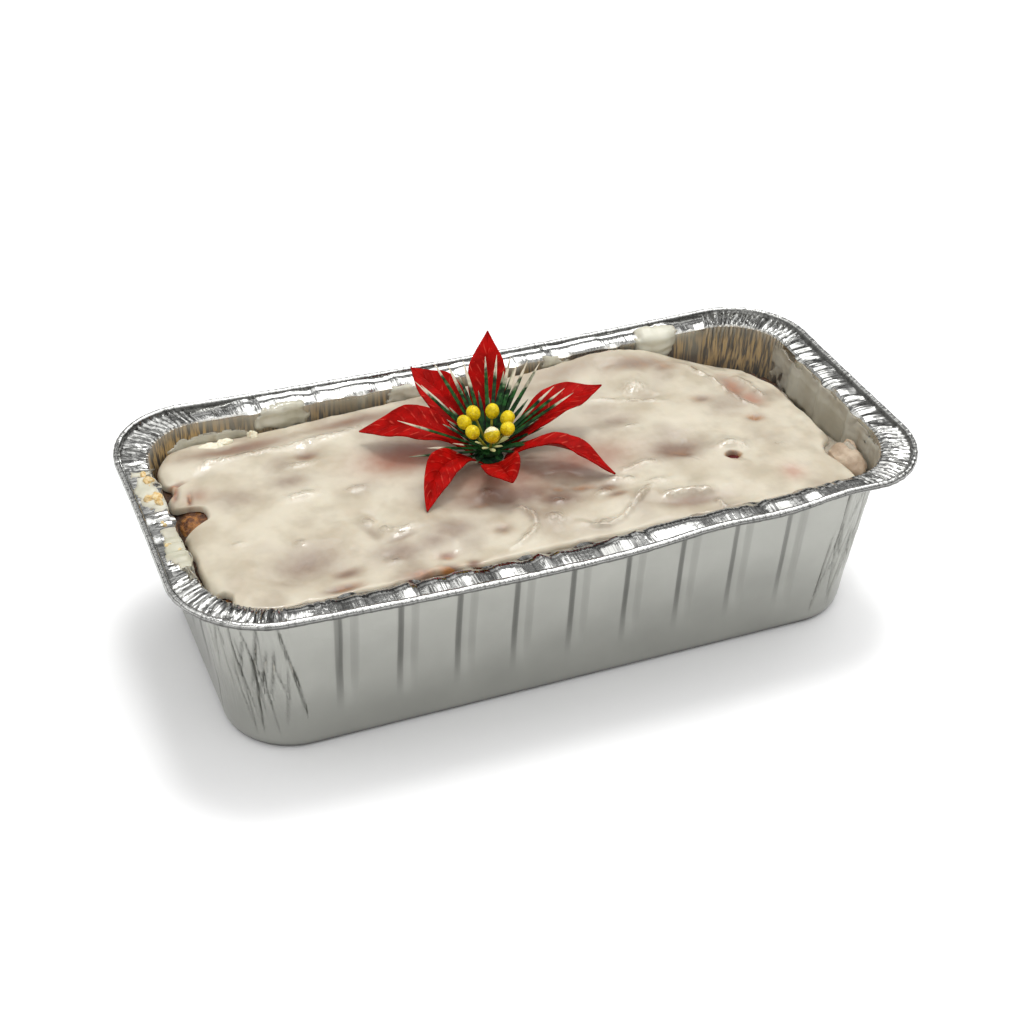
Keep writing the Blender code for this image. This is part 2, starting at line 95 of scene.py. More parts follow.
# --- small sums ---
def clamp(value: float, low: float = 0.0, high: float = 1.0) -> float:
    """The value, kept between two limits."""
    return max(low, min(high, value))


def blend(start: float, end: float, share: float) -> float:
    """Straight blend from start to end."""
    return start + (end - start) * share


def ease(low: float, high: float, value: float) -> float:
    """Smooth step from 0 at low to 1 at high."""
    share = clamp((value - low) / (high - low))
    return share * share * (3 - 2 * share)


def bell(x: float, y: float, centre_x: float, centre_y: float, reach_x: float, reach_y: float) -> float:
    """Smooth round swell of height 1 about a centre."""
    return math.exp(-((x - centre_x) / reach_x) ** 2 - ((y - centre_y) / reach_y) ** 2)


def rough(x: float, y: float, z: float, size: float) -> float:
    """Smooth noise from about -1 to 1, with lumps of a given size in millimetres."""
    return noise.noise(Vector((x, y, z)) / size)


def turned_plan(x: float, y: float, turn: float) -> Vector:
    """A point of the plan, turned about the middle by an angle in radians."""
    return Vector((x * math.cos(turn) - y * math.sin(turn), x * math.sin(turn) + y * math.cos(turn)))


def sky_direction(turn: float, climb: float) -> Vector:
    """Direction of a place in the sky: radians round from the front to the right, and up."""
    return Vector((math.sin(turn) * math.cos(climb), -math.cos(turn) * math.cos(climb), math.sin(climb)))


def add_object(name: str, data: bpy.types.ID) -> bpy.types.Object:
    """Object that holds the data, linked to the scene."""
    item = bpy.data.objects.new(name, data)
    bpy.context.scene.collection.objects.link(item)
    return item


# --- shader sums ---
class Wire:
    """A shader socket in a sum: arithmetic on it adds Math nodes to its sheet."""

    def __init__(self, sheet: "ShaderSheet", socket: bpy.types.NodeSocket) -> None:
        """Wrap one output socket of a sheet."""
        self.sheet = sheet
        self.socket = socket

    def _math(self, operation: str, *values: object) -> "Wire":
        """Add one Math node for values or wires."""
        return self.sheet.node("ShaderNodeMath", {"operation": operation}, dict(enumerate(values)))

    def __add__(self, other: object) -> "Wire":
        """Sum."""
        return self._math("ADD", self, other)

    __radd__ = __add__

    def __sub__(self, other: object) -> "Wire":
        """Difference."""
        return self._math("SUBTRACT", self, other)

    def __rsub__(self, other: object) -> "Wire":
        """Difference from a plain number."""
        return self._math("SUBTRACT", other, self)

    def __mul__(self, other: object) -> "Wire":
        """Product."""
        return self._math("MULTIPLY", self, other)

    def __abs__(self) -> "Wire":
        """Size without its sign."""
        return self._math("ABSOLUTE", self)

    def fraction(self) -> "Wire":
        """What is left above the next lower whole number."""
        return self._math("FRACT", self)

    def at_most(self, other: object) -> "Wire":
        """The smaller of the two."""
        return self._math("MINIMUM", self, other)

    def step(self, low: float, high: float) -> "Wire":
        """Smooth step from 0 at low to 1 at high; high may be the smaller one."""
        sockets = {"Value": self, "From Min": low, "From Max": high, "To Min": 0.0, "To Max": 1.0}
        return self.sheet.node("ShaderNodeMapRange", {"interpolation_type": "SMOOTHSTEP"}, sockets)


class ShaderSheet:
    """One node tree of a material or of the room, with its shader."""

    def __init__(self, tree: bpy.types.NodeTree, shader: str = "Principled BSDF") -> None:
        """Keep the tree and its shader, found by name."""
        self.tree = tree
        self.shader = tree.nodes[shader]

    def node(self, kind: str, settings: dict[str, object], values: dict[object, object],
             output: object = None) -> Wire:
        """Add a node.

        Args:
            kind: the node's type.
            settings: its properties, set before its sockets; "stops" holds a ramp's stops.
            values: values or wires of its input sockets, by name or number.
            output: name or number of the socket to return; the first live one if left out.

        Returns:
            The wire of the chosen output.
        """
        made = self.tree.nodes.new(kind)
        for key, setting in settings.items():
            if key == "stops":
                self._set_stops(made.color_ramp, setting)
            else:
                setattr(made, key, setting)
        for key, value in values.items():
            self._plug(made.inputs, key, value)
        if output is None:
            live = next(socket for socket in made.outputs if socket.enabled)
        elif isinstance(output, int):
            live = made.outputs[output]
        else:
            live = next(socket for socket in made.outputs if socket.enabled and socket.name == output)
        return Wire(self, live)

    def _set_stops(self, ramp: bpy.types.ColorRamp, stops: Sequence[tuple[float, Colour]]) -> None:
        """Give a colour ramp its stops."""
        while len(ramp.elements) < len(stops):
            ramp.elements.new(1.0)
        for element, (place, colour) in zip(ramp.elements, stops):
            element.position = place
            element.color = (*colour, 1.0)

    def _plug(self, sockets: bpy.types.NodeInputs, key: object, value: object) -> None:
        """Set or link one input socket; a name means the live socket of that name."""
        if isinstance(key, int):
            socket = sockets[key]
        else:
            socket = next(item for item in sockets if item.enabled and item.name == key)
        if isinstance(value, Wire):
            self.tree.links.new(value.socket, socket)
        elif socket.type == "RGBA":
            socket.default_value = (*value, 1.0)
        else:
            socket.default_value = value

    def place(self) -> Wire:
        """Object coordinates, in metres."""
        return self.node("ShaderNodeTexCoord", {}, {}, "Object")

    def stretched(self, scale: tuple[float, float, float]) -> Wire:
        """Object coordinates, scaled along each axis."""
        return self.node("ShaderNodeMapping", {}, {"Vector": self.place(), "Scale": scale})

    def grain(self, where: Wire, size_mm: float, detail: float = 2.0, coarse: float = 0.5) -> Wire:
        """Noise from 0 to 1 with lumps of a given size in millimetres."""
        sockets = {"Vector": where, "Scale": 1 / (size_mm * MM), "Detail": detail, "Roughness": coarse}
        return self.node("ShaderNodeTexNoise", {}, sockets)

    def cells(self, where: Wire, size_mm: float, output: str = "Distance") -> Wire:
        """Voronoi cells of a given size in millimetres."""
        return self.node("ShaderNodeTexVoronoi", {}, {"Vector": where, "Scale": 1 / (size_mm * MM)}, output)

    def mark(self, name: str, output: str = "Fac") -> Wire:
        """A number, or a colour or vector, that the mesh holds at each point."""
        return self.node("ShaderNodeAttribute", {"attribute_name": name}, {}, output)

    def tint(self, share: object, start: object, end: object) -> Wire:
        """Mix of two colours."""
        sockets = {"Factor": share, "A": start, "B": end}
        return self.node("ShaderNodeMix", {"data_type": "RGBA"}, sockets, "Result")

    def bump(self, height: Wire, depth_mm: float, below: Wire | None = None) -> Wire:
        """Bump of a depth in millimetres for a height from 0 to 1, over the one below it."""
        sockets: dict[object, object] = {"Height": height, "Distance": depth_mm * MM, "Strength": 1.0}
        if below is not None:
            sockets["Normal"] = below
        return self.node("ShaderNodeBump", {}, sockets)

    def split(self, whole: Wire) -> tuple[Wire, ...]:
        """The three numbers of a colour or a vector."""
        if whole.socket.type == "RGBA":
            first = self.node("ShaderNodeSeparateColor", {}, {"Color": whole}, 0)
        else:
            first = self.node("ShaderNodeSeparateXYZ", {}, {"Vector": whole}, 0)
        return tuple(Wire(self, socket) for socket in first.socket.node.outputs)

    def set(self, **values: object) -> None:
        """Set the Principled shader's sockets, named with _ for a space."""
        for key, value in values.items():
            self._plug(self.shader.inputs, key.replace("_", " "), value)

    def let_light_in(self, weight: float, reach_mm: float, shares: Colour) -> None:
        """Scatter light below the surface: how much, how far and how much further for each colour."""
        self.set(Subsurface_Weight=weight, Subsurface_Scale=reach_mm * MM, Subsurface_Radius=shares)


# --- finishes ---
@dataclass(frozen=True)
class Finish:
    """A finish: a name and the way it dresses a shader."""

    name: str

    def dress(self, sheet: ShaderSheet) -> None:
        """Set the shader up; each kind of finish has its own."""
        raise NotImplementedError

    def material(self) -> bpy.types.Material:
        """The finish as a material, made once."""
        known = bpy.data.materials.get(self.name)
        if known is None:
            known = bpy.data.materials.new(self.name)
            known.use_nodes = True
            self.dress(ShaderSheet(known.node_tree))
        return known


@dataclass(frozen=True)
class FoilFinish(Finish):
    """Rolled foil: satin walls, a brighter rim, brown stains where the batter touched it, and painted shade
    in its crimps, flutes, creases and hollows.
    """

    satin: Colour = (0.42, 0.422, 0.39)
    dull: Colour = (0.336, 0.3376, 0.312)
    bright: Colour = (0.57, 0.57, 0.55)
    stain: Colour = (0.49, 0.345, 0.165)
    dark_stain: Colour = (0.026, 0.013, 0.006)
    # colour of the painted shade in the crimps' valleys, flute sides, creases, hollows, bead and foot
    dark: Colour = (0.05, 0.05, 0.045)

    def dress(self, sheet: ShaderSheet) -> None:
        """Mix wall and rim by the mesh's rim mark, brown its stains and paint shade into its crimps' valleys
        and along its flute sides, creases, hollows, bead and foot.
        """
        place = sheet.place()
        rim, stained, crimped, painted_shade = (sheet.mark(name) for name in ("rim", "stain", "crimp", "painted_shade"))
        cloud = sheet.grain(place, 14.0, 3.0)
        streaks = sheet.grain(sheet.stretched((1.0, 1.0, 0.07)), 0.75, 2.0)
        metal = sheet.tint(rim, sheet.tint(cloud, self.dull, self.satin), self.bright)
        crimps = sheet.grain(sheet.mark("foot", "Vector"), 1.0, 1.0)
        # painted shade in the valleys of the fine crimps
        metal = sheet.tint(crimps.step(0.50, 0.34) * crimped * 0.7, metal, self.dark)
        # painted shade from the mesh's mark: flute sides, creases, the flange's hollows, the bead and the
        # foot
        metal = sheet.tint(painted_shade, metal, self.dark)
        brown = sheet.tint(streaks.step(0.38, 0.58), self.dark_stain, self.stain)
        cover = (stained * (0.35 + streaks * 1.3)).at_most(1.0)
        worn = sheet.grain(place, 0.9, 2.0)
        sheet.set(Base_Color=sheet.tint(cover, metal, brown),
                  Metallic=1.0 - cover * 0.85,
                  Roughness=0.27 - rim * 0.20 + worn * 0.05 + cover * 0.2 + cloud * 0.05)
        scratches = sheet.grain(sheet.stretched((0.35, 0.35, 3.2)), 1.6, 2.0)
        crinkle = sheet.grain(place, 1.0, 3.0, 0.6)
        walls = sheet.bump(crimps * crimped, 0.30, sheet.bump(scratches, 0.035))
        sheet.set(Normal=sheet.bump(crinkle, 0.03, walls))


@dataclass(frozen=True)
class IcingFinish(Finish):
    """Poured sugar icing: cream, see-through where it is thin, with a wet gloss, and with painted shade in
    its hollows and painted shadow and red bounce light under the flower.
    """

    cream: Colour = (0.565, 0.512, 0.405)
    shade: Colour = (0.45, 0.39, 0.29)
    mauve: Colour = (0.215, 0.15, 0.11)
    brown: Colour = (0.13, 0.045, 0.018)
    amber: Colour = (0.34, 0.14, 0.035)
    pink: Colour = (0.42, 0.17, 0.115)

    def dress(self, sheet: ShaderSheet) -> None:
        """Tint by the mesh's marks of see-through icing, painted shade and painted red bounce light, broken
        up with noise, and wet it by its wet mark.
        """
        place = sheet.place()
        thin_and_shade, crumb, fruit_and_red_bounce = sheet.split(sheet.mark("show_through_and_shade", "Color"))
        wet = sheet.mark("wet")
        cloud = sheet.grain(place, 12.0, 3.0)
        fine = sheet.grain(place, 3.0, 3.0)
        body = sheet.tint(cloud.step(0.35, 0.7), self.cream, self.shade)
        # mauve where the icing is thin, and as painted shade in hollows and under the flower
        body = sheet.tint((thin_and_shade * (0.75 + fine * 0.5)).at_most(1.0), body, self.mauve)
        crust = sheet.tint(fine.step(0.44, 0.60), self.brown, self.amber)
        # crumb and fruit showing through; the pink also paints red bounce light under the bracts
        for share, colour in ((crumb, crust), (fruit_and_red_bounce, self.pink)):
            body = sheet.tint((share * (0.6 + fine * 0.8)).at_most(1.0), body, colour)
        gloss = sheet.grain(place, 6.0, 2.0).step(0.50, 0.62) * 0.4 + wet
        sheet.set(Base_Color=body, Roughness=0.44 - gloss * 0.26, Coat_Weight=gloss.at_most(1.0),
                  Coat_Roughness=0.03, IOR=1.45)
        sheet.let_light_in(0.30, 3.0, (1.0, 0.62, 0.42))
        ripples = sheet.bump(sheet.grain(place, 3.2, 2.0), 0.08)
        beads = sheet.bump(sheet.grain(place, 1.5, 1.0) * wet, 0.75, ripples)
        sheet.set(Normal=sheet.bump(sheet.grain(place, 0.5, 1.0), 0.012, beads))


@dataclass(frozen=True)
class CrustFinish(Finish):
    """Baked crust: orange brown crumb, burnt dark in its hollows."""

    burnt: Colour = (0.020, 0.008, 0.004)
    brown: Colour = (0.13, 0.045, 0.012)
    amber: Colour = (0.36, 0.15, 0.03)
    film: Colour = (0.34, 0.30, 0.235)

    def dress(self, sheet: ShaderSheet) -> None:
        """Mix three browns over the crumb, burn them by the mesh's burnt mark and ice its filmed parts."""
        place = sheet.place()
        crumb = sheet.grain(place, 2.2, 4.0, 0.6)
        pores = sheet.cells(place, 1.1)
        stops = [(0.30, self.burnt), (0.46, self.brown), (0.62, self.amber)]
        tone = sheet.node("ShaderNodeValToRGB", {"stops": stops}, {"Fac": crumb}, "Color")
        body = sheet.tint(sheet.mark("burnt"), tone, self.burnt)
        body = sheet.tint(sheet.mark("filmed"), body, self.film)
        sheet.set(Base_Color=body, Roughness=0.55 + crumb * 0.3)
        sheet.let_light_in(0.12, 2.0, (1.0, 0.4, 0.2))
        sheet.set(Normal=sheet.bump(pores, 0.35, sheet.bump(crumb, 0.5)))


@dataclass(frozen=True)
class CrumbFinish(Finish):
    """Inside crumb and loose crumbs: one colour with darker pores."""

    light: Colour = (0.60, 0.43, 0.29)
    dark: Colour = (0.44, 0.28, 0.17)
    pore_mm: float = 1.0

    def dress(self, sheet: ShaderSheet) -> None:
        """Mottle the two colours with pores."""
        place = sheet.place()
        mottle = sheet.grain(place, self.pore_mm * 1.8, 3.0, 0.6)
        pores = sheet.cells(place, self.pore_mm)
        body = sheet.tint(mottle.step(0.35, 0.68), self.dark, self.light)
        sheet.set(Base_Color=body, Roughness=0.62 + mottle * 0.2)
        sheet.let_light_in(0.2, 2.0, (1.0, 0.55, 0.35))
        sheet.set(Normal=sheet.bump(pores, 0.25, sheet.bump(mottle, 0.3)))


@dataclass(frozen=True)
class FruitFinish(Finish):
    """Baked cranberry skin: dark red, wet and wrinkled."""

    deep: Colour = (0.020, 0.001, 0.001)
    red: Colour = (0.12, 0.004, 0.004)

    def dress(self, sheet: ShaderSheet) -> None:
        """Mottle two reds under a wet coat."""
        place = sheet.place()
        mottle = sheet.grain(place, 1.4, 2.0)
        sheet.set(Base_Color=sheet.tint(mottle, self.deep, self.red), Roughness=0.45 + mottle * 0.2,
                  Specular_IOR_Level=0.2)
        sheet.set(Normal=sheet.bump(mottle, 0.3))


@dataclass(frozen=True)
class BractFinish(Finish):
    """Red satin plastic leaf with fine veins; the UV map runs across and along the leaf."""

    red: Colour = (0.37, 0.003, 0.002)
    deep: Colour = (0.22, 0.002, 0.001)
    glint: Colour = (0.68, 0.08, 0.05)
    veins: float = 9.0
    vein_slant: float = 3.4

    def dress(self, sheet: ShaderSheet) -> None:
        """Side veins run forwards from the middle vein; glitter specks lie between them."""
        across, along, _ = sheet.split(sheet.node("ShaderNodeUVMap", {}, {}))
        off_middle = abs(across - 0.5)
        wave = (along * self.veins - off_middle * self.vein_slant).fraction()
        ridge = wave.step(0.0, 0.14) * wave.step(0.30, 0.14) * off_middle.step(0.0, 0.06)
        middle = off_middle.step(0.035, 0.0)
        place = sheet.place()
        mottle = sheet.grain(place, 3.5, 3.0)
        speck = sheet.cells(place, 0.9).step(0.16, 0.05) * sheet.grain(place, 2.0, 1.0).step(0.52, 0.62)
        body = sheet.tint(mottle.step(0.3, 0.7), self.red, self.deep)
        body = sheet.tint(ridge * sheet.grain(place, 2.4, 1.0).step(0.48, 0.68) * 0.5, body, self.glint)
        body = sheet.tint(speck * 0.75, body, self.glint)
        sheet.set(Base_Color=body, Roughness=0.50 - speck * 0.2 - ridge * 0.12, Specular_IOR_Level=0.04)
        fibre = sheet.bump(sheet.grain(place, 0.35, 2.0), 0.05)
        sheet.set(Normal=sheet.bump(ridge - middle, 0.08, fibre))


@dataclass(frozen=True)
class BerryFinish(Finish):
    """Yellow plastic dusted with gold glitter."""

    yellow: Colour = (0.74, 0.56, 0.004)
    olive: Colour = (0.50, 0.37, 0.003)
    gold: Colour = (0.90, 0.76, 0.10)
    cream: Colour = (0.80, 0.74, 0.48)
    glitter_mm: float = 0.42

    def dress(self, sheet: ShaderSheet) -> None:
        """Glitter grains are small raised cells, each of its own shade."""
        place = sheet.place()
        grain = sheet.cells(place, self.glitter_mm)
        pick, _, _ = sheet.split(sheet.cells(place, self.glitter_mm, "Color"))
        mottle = sheet.grain(place, 1.6, 2.0)
        body = sheet.tint(mottle.step(0.35, 0.68), self.yellow, self.olive)
        body = sheet.tint(pick.step(0.70, 0.85) * 0.4, body, self.gold)
        body = sheet.tint(sheet.mark("cap"), body, self.cream)
        sheet.set(Base_Color=body, Roughness=0.38 - pick * 0.2, Metallic=pick.step(0.80, 0.92) * 0.4, IOR=1.3)
        sheet.let_light_in(0.08, 1.0, (1.0, 0.7, 0.1))
        sheet.set(Normal=sheet.bump(1.0 - grain, 0.12))


@dataclass(frozen=True)
class NeedleFinish(Finish):
    """Green moulded needle, brushed with white over its outer part; the mesh's along mark runs 0 to 1."""

    green: Colour = (0.012, 0.075, 0.012)
    deep: Colour = (0.002, 0.012, 0.002)
    white: Colour = (0.52, 0.46, 0.35)
    white_from: float = 0.62
    white_full: float = 0.80

    def dress(self, sheet: ShaderSheet) -> None:
        """Brush the white on in streaks, so that green shows through near its start."""
        place = sheet.place()
        along = sheet.mark("along")
        streak = sheet.grain(place, 1.5, 2.0)
        worn = sheet.grain(place, 5.0, 1.0)
        edge = along + (streak - 0.5) * 0.22 + (worn - 0.5) * 0.5
        body = sheet.tint(streak.step(0.35, 0.65), self.deep, self.green)
        sheet.set(Base_Color=sheet.tint(edge.step(self.white_from, self.white_full), body, self.white),
                  Roughness=0.50 + streak * 0.15, Specular_IOR_Level=0.12)
        sheet.set(Normal=sheet.bump(streak, 0.08))


@dataclass(frozen=True)
class FloorFinish(Finish):
    """Plain pale table top."""

    pale: Colour = (0.96, 0.96, 0.96)
    grey: Colour = (0.9456, 0.9456, 0.9456)

    def dress(self, sheet: ShaderSheet) -> None:
        """Matte, with the faintest mottle."""
        mottle = sheet.grain(sheet.place(), 60.0, 2.0)
        sheet.set(Base_Color=sheet.tint(mottle, self.pale, self.grey), Roughness=0.75)


FOIL = FoilFinish("rolled_foil")
ICING = IcingFinish("sugar_icing")
# a lighter copy of the icing's colours, as painted light on the smears that lie on the shaded inner walls;
# the icing lumps use it too
PAINTED_LIGHT_ICING = IcingFinish("painted_light_icing", (0.75, 0.69, 0.53), (0.54, 0.485, 0.34))
CRUST = CrustFinish("baked_crust")
CHUNK = CrumbFinish("chunk_crumb", (0.47, 0.37, 0.27), (0.34, 0.25, 0.17), 2.0)
GOLD_CRUMB = CrumbFinish("gold_crumb", (0.74, 0.60, 0.36), (0.62, 0.40, 0.14), 0.6)
DARK_CRUMB = CrumbFinish("dark_crumb", (0.09, 0.032, 0.012), (0.015, 0.006, 0.004), 0.6)
FRUIT = FruitFinish("cranberry")
BRACT = BractFinish("bract")
BERRY = BerryFinish("berry")
NEEDLE = NeedleFinish("needle")
TUFT = NeedleFinish("tuft", (0.010, 0.050, 0.012), (0.002, 0.008, 0.003), (0.38, 0.38, 0.26), 0.80, 1.08)
LEAFLET = NeedleFinish("leaflet", (0.09, 0.17, 0.03), (0.03, 0.08, 0.02), (0.52, 0.52, 0.24), 0.15, 0.6)
CALYX = NeedleFinish("calyx", (0.012, 0.06, 0.02), (0.004, 0.02, 0.01), (0.05, 0.12, 0.05), 2.0, 3.0)
STEM = NeedleFinish("stem", (0.30, 0.27, 0.02), (0.12, 0.12, 0.015), (0.5, 0.4, 0.05), 2.0, 3.0)
FLOOR = FloorFinish("floor")


# --- the tin's form ---
@dataclass(frozen=True)
class TinForm:
    """Sizes of the tin and the way its soft rim is bent, all in millimetres."""

    rim_length: float = 213.6
    rim_width: float = 103.4
    rim_corner: float = 24.3
    base_length: float = 186.4
    base_width: float = 82.6
    base_corner: float = 19.2
    flange_width: float = 7.8
    wall_corner: float = 19.0
    flange_level: float = 53.0
    bead_level: float = 53.4
    bead_radius: float = 1.15
    foil: float = 0.35
    base_fillet: float = 3.5
    station_spread: int = 15  # the higher, the later along a side its stations spread to its corner
    front_bow: float = -1.5
    back_bow: float = -1.5
    left_press: float = 1.2
    right_press: float = -0.9
    front_sag: float = -2.7
    back_sag: float = -1.3
    left_sag: float = -1.0
    right_sag: float = 0.2
    front_waves: tuple[tuple[float, float, float], ...] = ((75, 16, 2.4), (35, 18, 2.0))

    def rim_bend(self, x: float, y: float) -> Vector:
        """How far the bent rim stands from its true outline at a point of its plan."""
        along, across = x / (self.rim_length / 2), y / (self.rim_width / 2)
        middle_x, middle_y = clamp(1 - along ** 2), clamp(1 - across ** 2)
        front, back = clamp((-across - 0.6) / 0.4), clamp((across - 0.6) / 0.4)
        left, right = clamp((-along - 0.8) / 0.2), clamp((along - 0.8) / 0.2)
        shift_x = middle_y * (self.left_press * left + self.right_press * right)
        shift_y = middle_x * (self.front_bow * front + self.back_bow * back)
        sag = middle_x * (self.front_sag * front + self.back_sag * back)
        sag += middle_y * (self.left_sag * left + self.right_sag * right)
        for place, width, height in self.front_waves:
            sag += front * height * math.exp(-((x - place) / width) ** 2)
        return Vector((shift_x, shift_y, sag))

    def bent(self, x: float, y: float, z: float, sagging: bool = True) -> Vector:
        """A point moved with the bent rim: not at the base, fully at the rim."""
        bend = self.rim_bend(x, y) * clamp(z / self.bead_level)
        return Vector((x + bend.x, y + bend.y, z + (bend.z if sagging else 0.0)))

    def wall_size(self, level: float) -> tuple[float, float, float]:
        """Half length, half width and corner radius of the outer wall at a height."""
        share = level / self.flange_level
        return (blend(self.base_length / 2, self.rim_length / 2 - self.flange_width, share),
                blend(self.base_width / 2, self.rim_width / 2 - self.flange_width, share),
                blend(self.base_corner, self.wall_corner, share))

    def flange_size(self, share: float) -> tuple[float, float, float]:
        """Half length, half width and corner radius of a flange ring, 0 at the wall to 1 at the bead."""
        start = self.wall_size(self.flange_level)
        end = (self.rim_length / 2, self.rim_width / 2, self.rim_corner)
        return tuple(blend(a, b, share) for a, b in zip(start, end))

    def centring(self) -> Vector:
        """Shift from the unbent tin's middle to the middle of the bent rim."""
        steps = [index / 200 for index in range(-200, 201)]
        half_x, half_y = self.rim_length / 2, self.rim_width / 2
        straight_x, straight_y = half_x - self.rim_corner, half_y - self.rim_corner
        left, right = ([self.bent(side * half_x, straight_y * s, self.bead_level).x for s in steps]
                       for side in (-1, 1))
        front, back = ([self.bent(straight_x * s, side * half_y, self.bead_level).y for s in steps]
                       for side in (-1, 1))
        return Vector((-(min(left) + max(right)) / 2, -(min(front) + max(back)) / 2, 0))


TIN = TinForm()


class Bench:
    """Turns finished shapes, drawn in millimetres, into pieces that ride on the part."""

    def __init__(self, shift: Vector) -> None:
        """Keep the shift, in millimetres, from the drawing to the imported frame."""
        self.place = Matrix.Diagonal((MM, MM, MM, 1)) @ Matrix.Translation(shift)

    def piece(self, name: str, mesh: bmesh.types.BMesh, finish: Finish, slot: Slot,
              replaces: Sequence[str] = (), sharp: float = 180.0) -> bpy.types.Object:
        """Make a piece and free its bmesh.

        Args:
            name: name of the piece.
            mesh: the shape, in millimetres.
            finish: what it is made of.
            slot: the record's slot for it; not used.
            replaces: names of the solids that it stands for.
            sharp: edges that turn more than this, in degrees, are drawn sharp.

        Returns:
            The new object.
        """
        bmesh.ops.transform(mesh, matrix=self.place, verts=mesh.verts)
        data = bpy.data.meshes.new(name)
        mesh.to_mesh(data)
        mesh.free()
        data.shade_smooth()
        if sharp < 180:
            data.set_sharp_from_angle(angle=math.radians(sharp))
        data.materials.append(finish.material())
        item = add_object(name, data)
        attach(item, "root")
        if replaces:
            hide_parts(*replaces)
        log.info("%s: %d faces", name, len(data.polygons))
        return item


def lattice(mesh: bmesh.types.BMesh, cells: tuple[int, int],
            place: Callable[[float, float], Vector]) -> list[bmesh.types.BMVert]:
    """Grid of cells over the square from -1 to 1, each point set by place(u, v).

    Args:
        mesh: the bmesh to add to.
        cells: number of cells each way.
        place: gives the point for u and v.

    Returns:
        The new points.
    """
    grid = bmesh.ops.create_grid(mesh, x_segments=cells[0], y_segments=cells[1], size=1)["verts"]
    for vert in grid:
        vert.co = place(vert.co.x, vert.co.y)
    return grid


def skin(mesh: bmesh.types.BMesh, count: int, rows: Sequence[object],
         shape: Callable[[bmesh.types.BMVert, int, object], None]) -> None:
    """Closed skin: a ring of points, drawn out row by row and closed at both ends.

    Args:
        mesh: the bmesh to add to; it has an int layer named order.
        count: number of points in the ring.
        rows: what each row is called with.
        shape: places one point, from its number in the ring and its row.
    """
    order = mesh.verts.layers.int["order"]
    ring = bmesh.ops.create_circle(mesh, segments=count, radius=1)["verts"]
    for index, vert in enumerate(ring):
        vert[order] = index
    edges = list({edge for vert in ring for edge in vert.link_edges})
    first = edges
    for number, row in enumerate(rows):
        if number:
            made = bmesh.ops.extrude_edge_only(mesh, edges=edges)["geom"]
            ring = [item for item in made if isinstance(item, bmesh.types.BMVert)]
            fresh = set(ring)
            edges = [item for item in made if isinstance(item, bmesh.types.BMEdge)
                     and item.verts[0] in fresh and item.verts[1] in fresh]
        for vert in ring:
            shape(vert, vert[order], row)
    bmesh.ops.contextual_create(mesh, geom=first)
    bmesh.ops.contextual_create(mesh, geom=edges)


def rounded_rectangle(u: float, v: float, half_x: float, half_y: float,
                      corner: float) -> tuple[Vector, Vector]:
    """Point of a rounded rectangle and its outward direction, for a point of the unit square's edge."""
    x, y = u * half_x, v * half_y
    centre_x, centre_y = half_x - corner, half_y - corner
    if abs(x) > centre_x and abs(y) > centre_y:
        centre = Vector((math.copysign(centre_x, x), math.copysign(centre_y, y)))
        normal = (Vector((x, y)) - centre).normalized()
        return centre + normal * corner, normal
    normal = Vector((math.copysign(1, u), 0)) if abs(u) >= abs(v) else Vector((0, math.copysign(1, v)))
    return Vector((x, y)), normal


# --- foil tin ---
@dataclass(frozen=True)
class Station:
    """One place round the tin: on a side from -1 to 1, or round the corner that follows it from 0 to 1."""

    side: Side
    corner: bool
    share: float

    @property
    def reach(self) -> float:
        """Half length of the tin along this side, less its corner, at the base."""
        half = TIN.base_length / 2 if self.side.long else TIN.base_width / 2
        return half - TIN.base_corner

    def plan(self, size: tuple[float, float, float]) -> tuple[Vector, Vector, float]:
        """Plan of the station on a ring.

        Args:
            size: half length, half width and corner radius of the ring.

        Returns:
            The point, the outward direction and the distance along the side.
        """
        half_x, half_y, corner = size
        turn = math.radians(90 * self.side.value)
        along, out = (half_x, half_y) if self.side.long else (half_y, half_x)
        if self.corner:
            angle = turn - math.pi / 2 + math.pi / 2 * self.share
            direction = Vector((math.cos(angle), math.sin(angle)))
            return turned_plan(along - corner, corner - out, turn) + direction * corner, direction, along
        straight = along - corner
        spread = self.share * abs(self.share) ** TIN.station_spread
        place = self.share * self.reach + (straight - self.reach) * spread
        return turned_plan(place, -out, turn), turned_plan(0, -1, turn), place


@dataclass(frozen=True)
class Crease:
    """One sharp crease of a pleated corner: from a high point to a low one."""

    side: Side
    top_share: float
    top_level: float
    low_share: float
    low_level: float
    depth: float
    curl: float = 1.3
    fade: float = 5.0

    def groove(self, share: float, level: float, width: float) -> float:
        """Depth of the groove at a point of the corner, 0 away from it."""
        if not self.low_level < level < self.top_level:
            return 0.0
        run = (self.top_level - level) / (self.top_level - self.low_level)
        middle = blend(self.top_share, self.low_share, run ** self.curl)
        fade = min(1.0, self.fade * run, self.fade * (1 - run))
        return self.depth * fade * math.exp(-((share - middle) / width) ** 2)


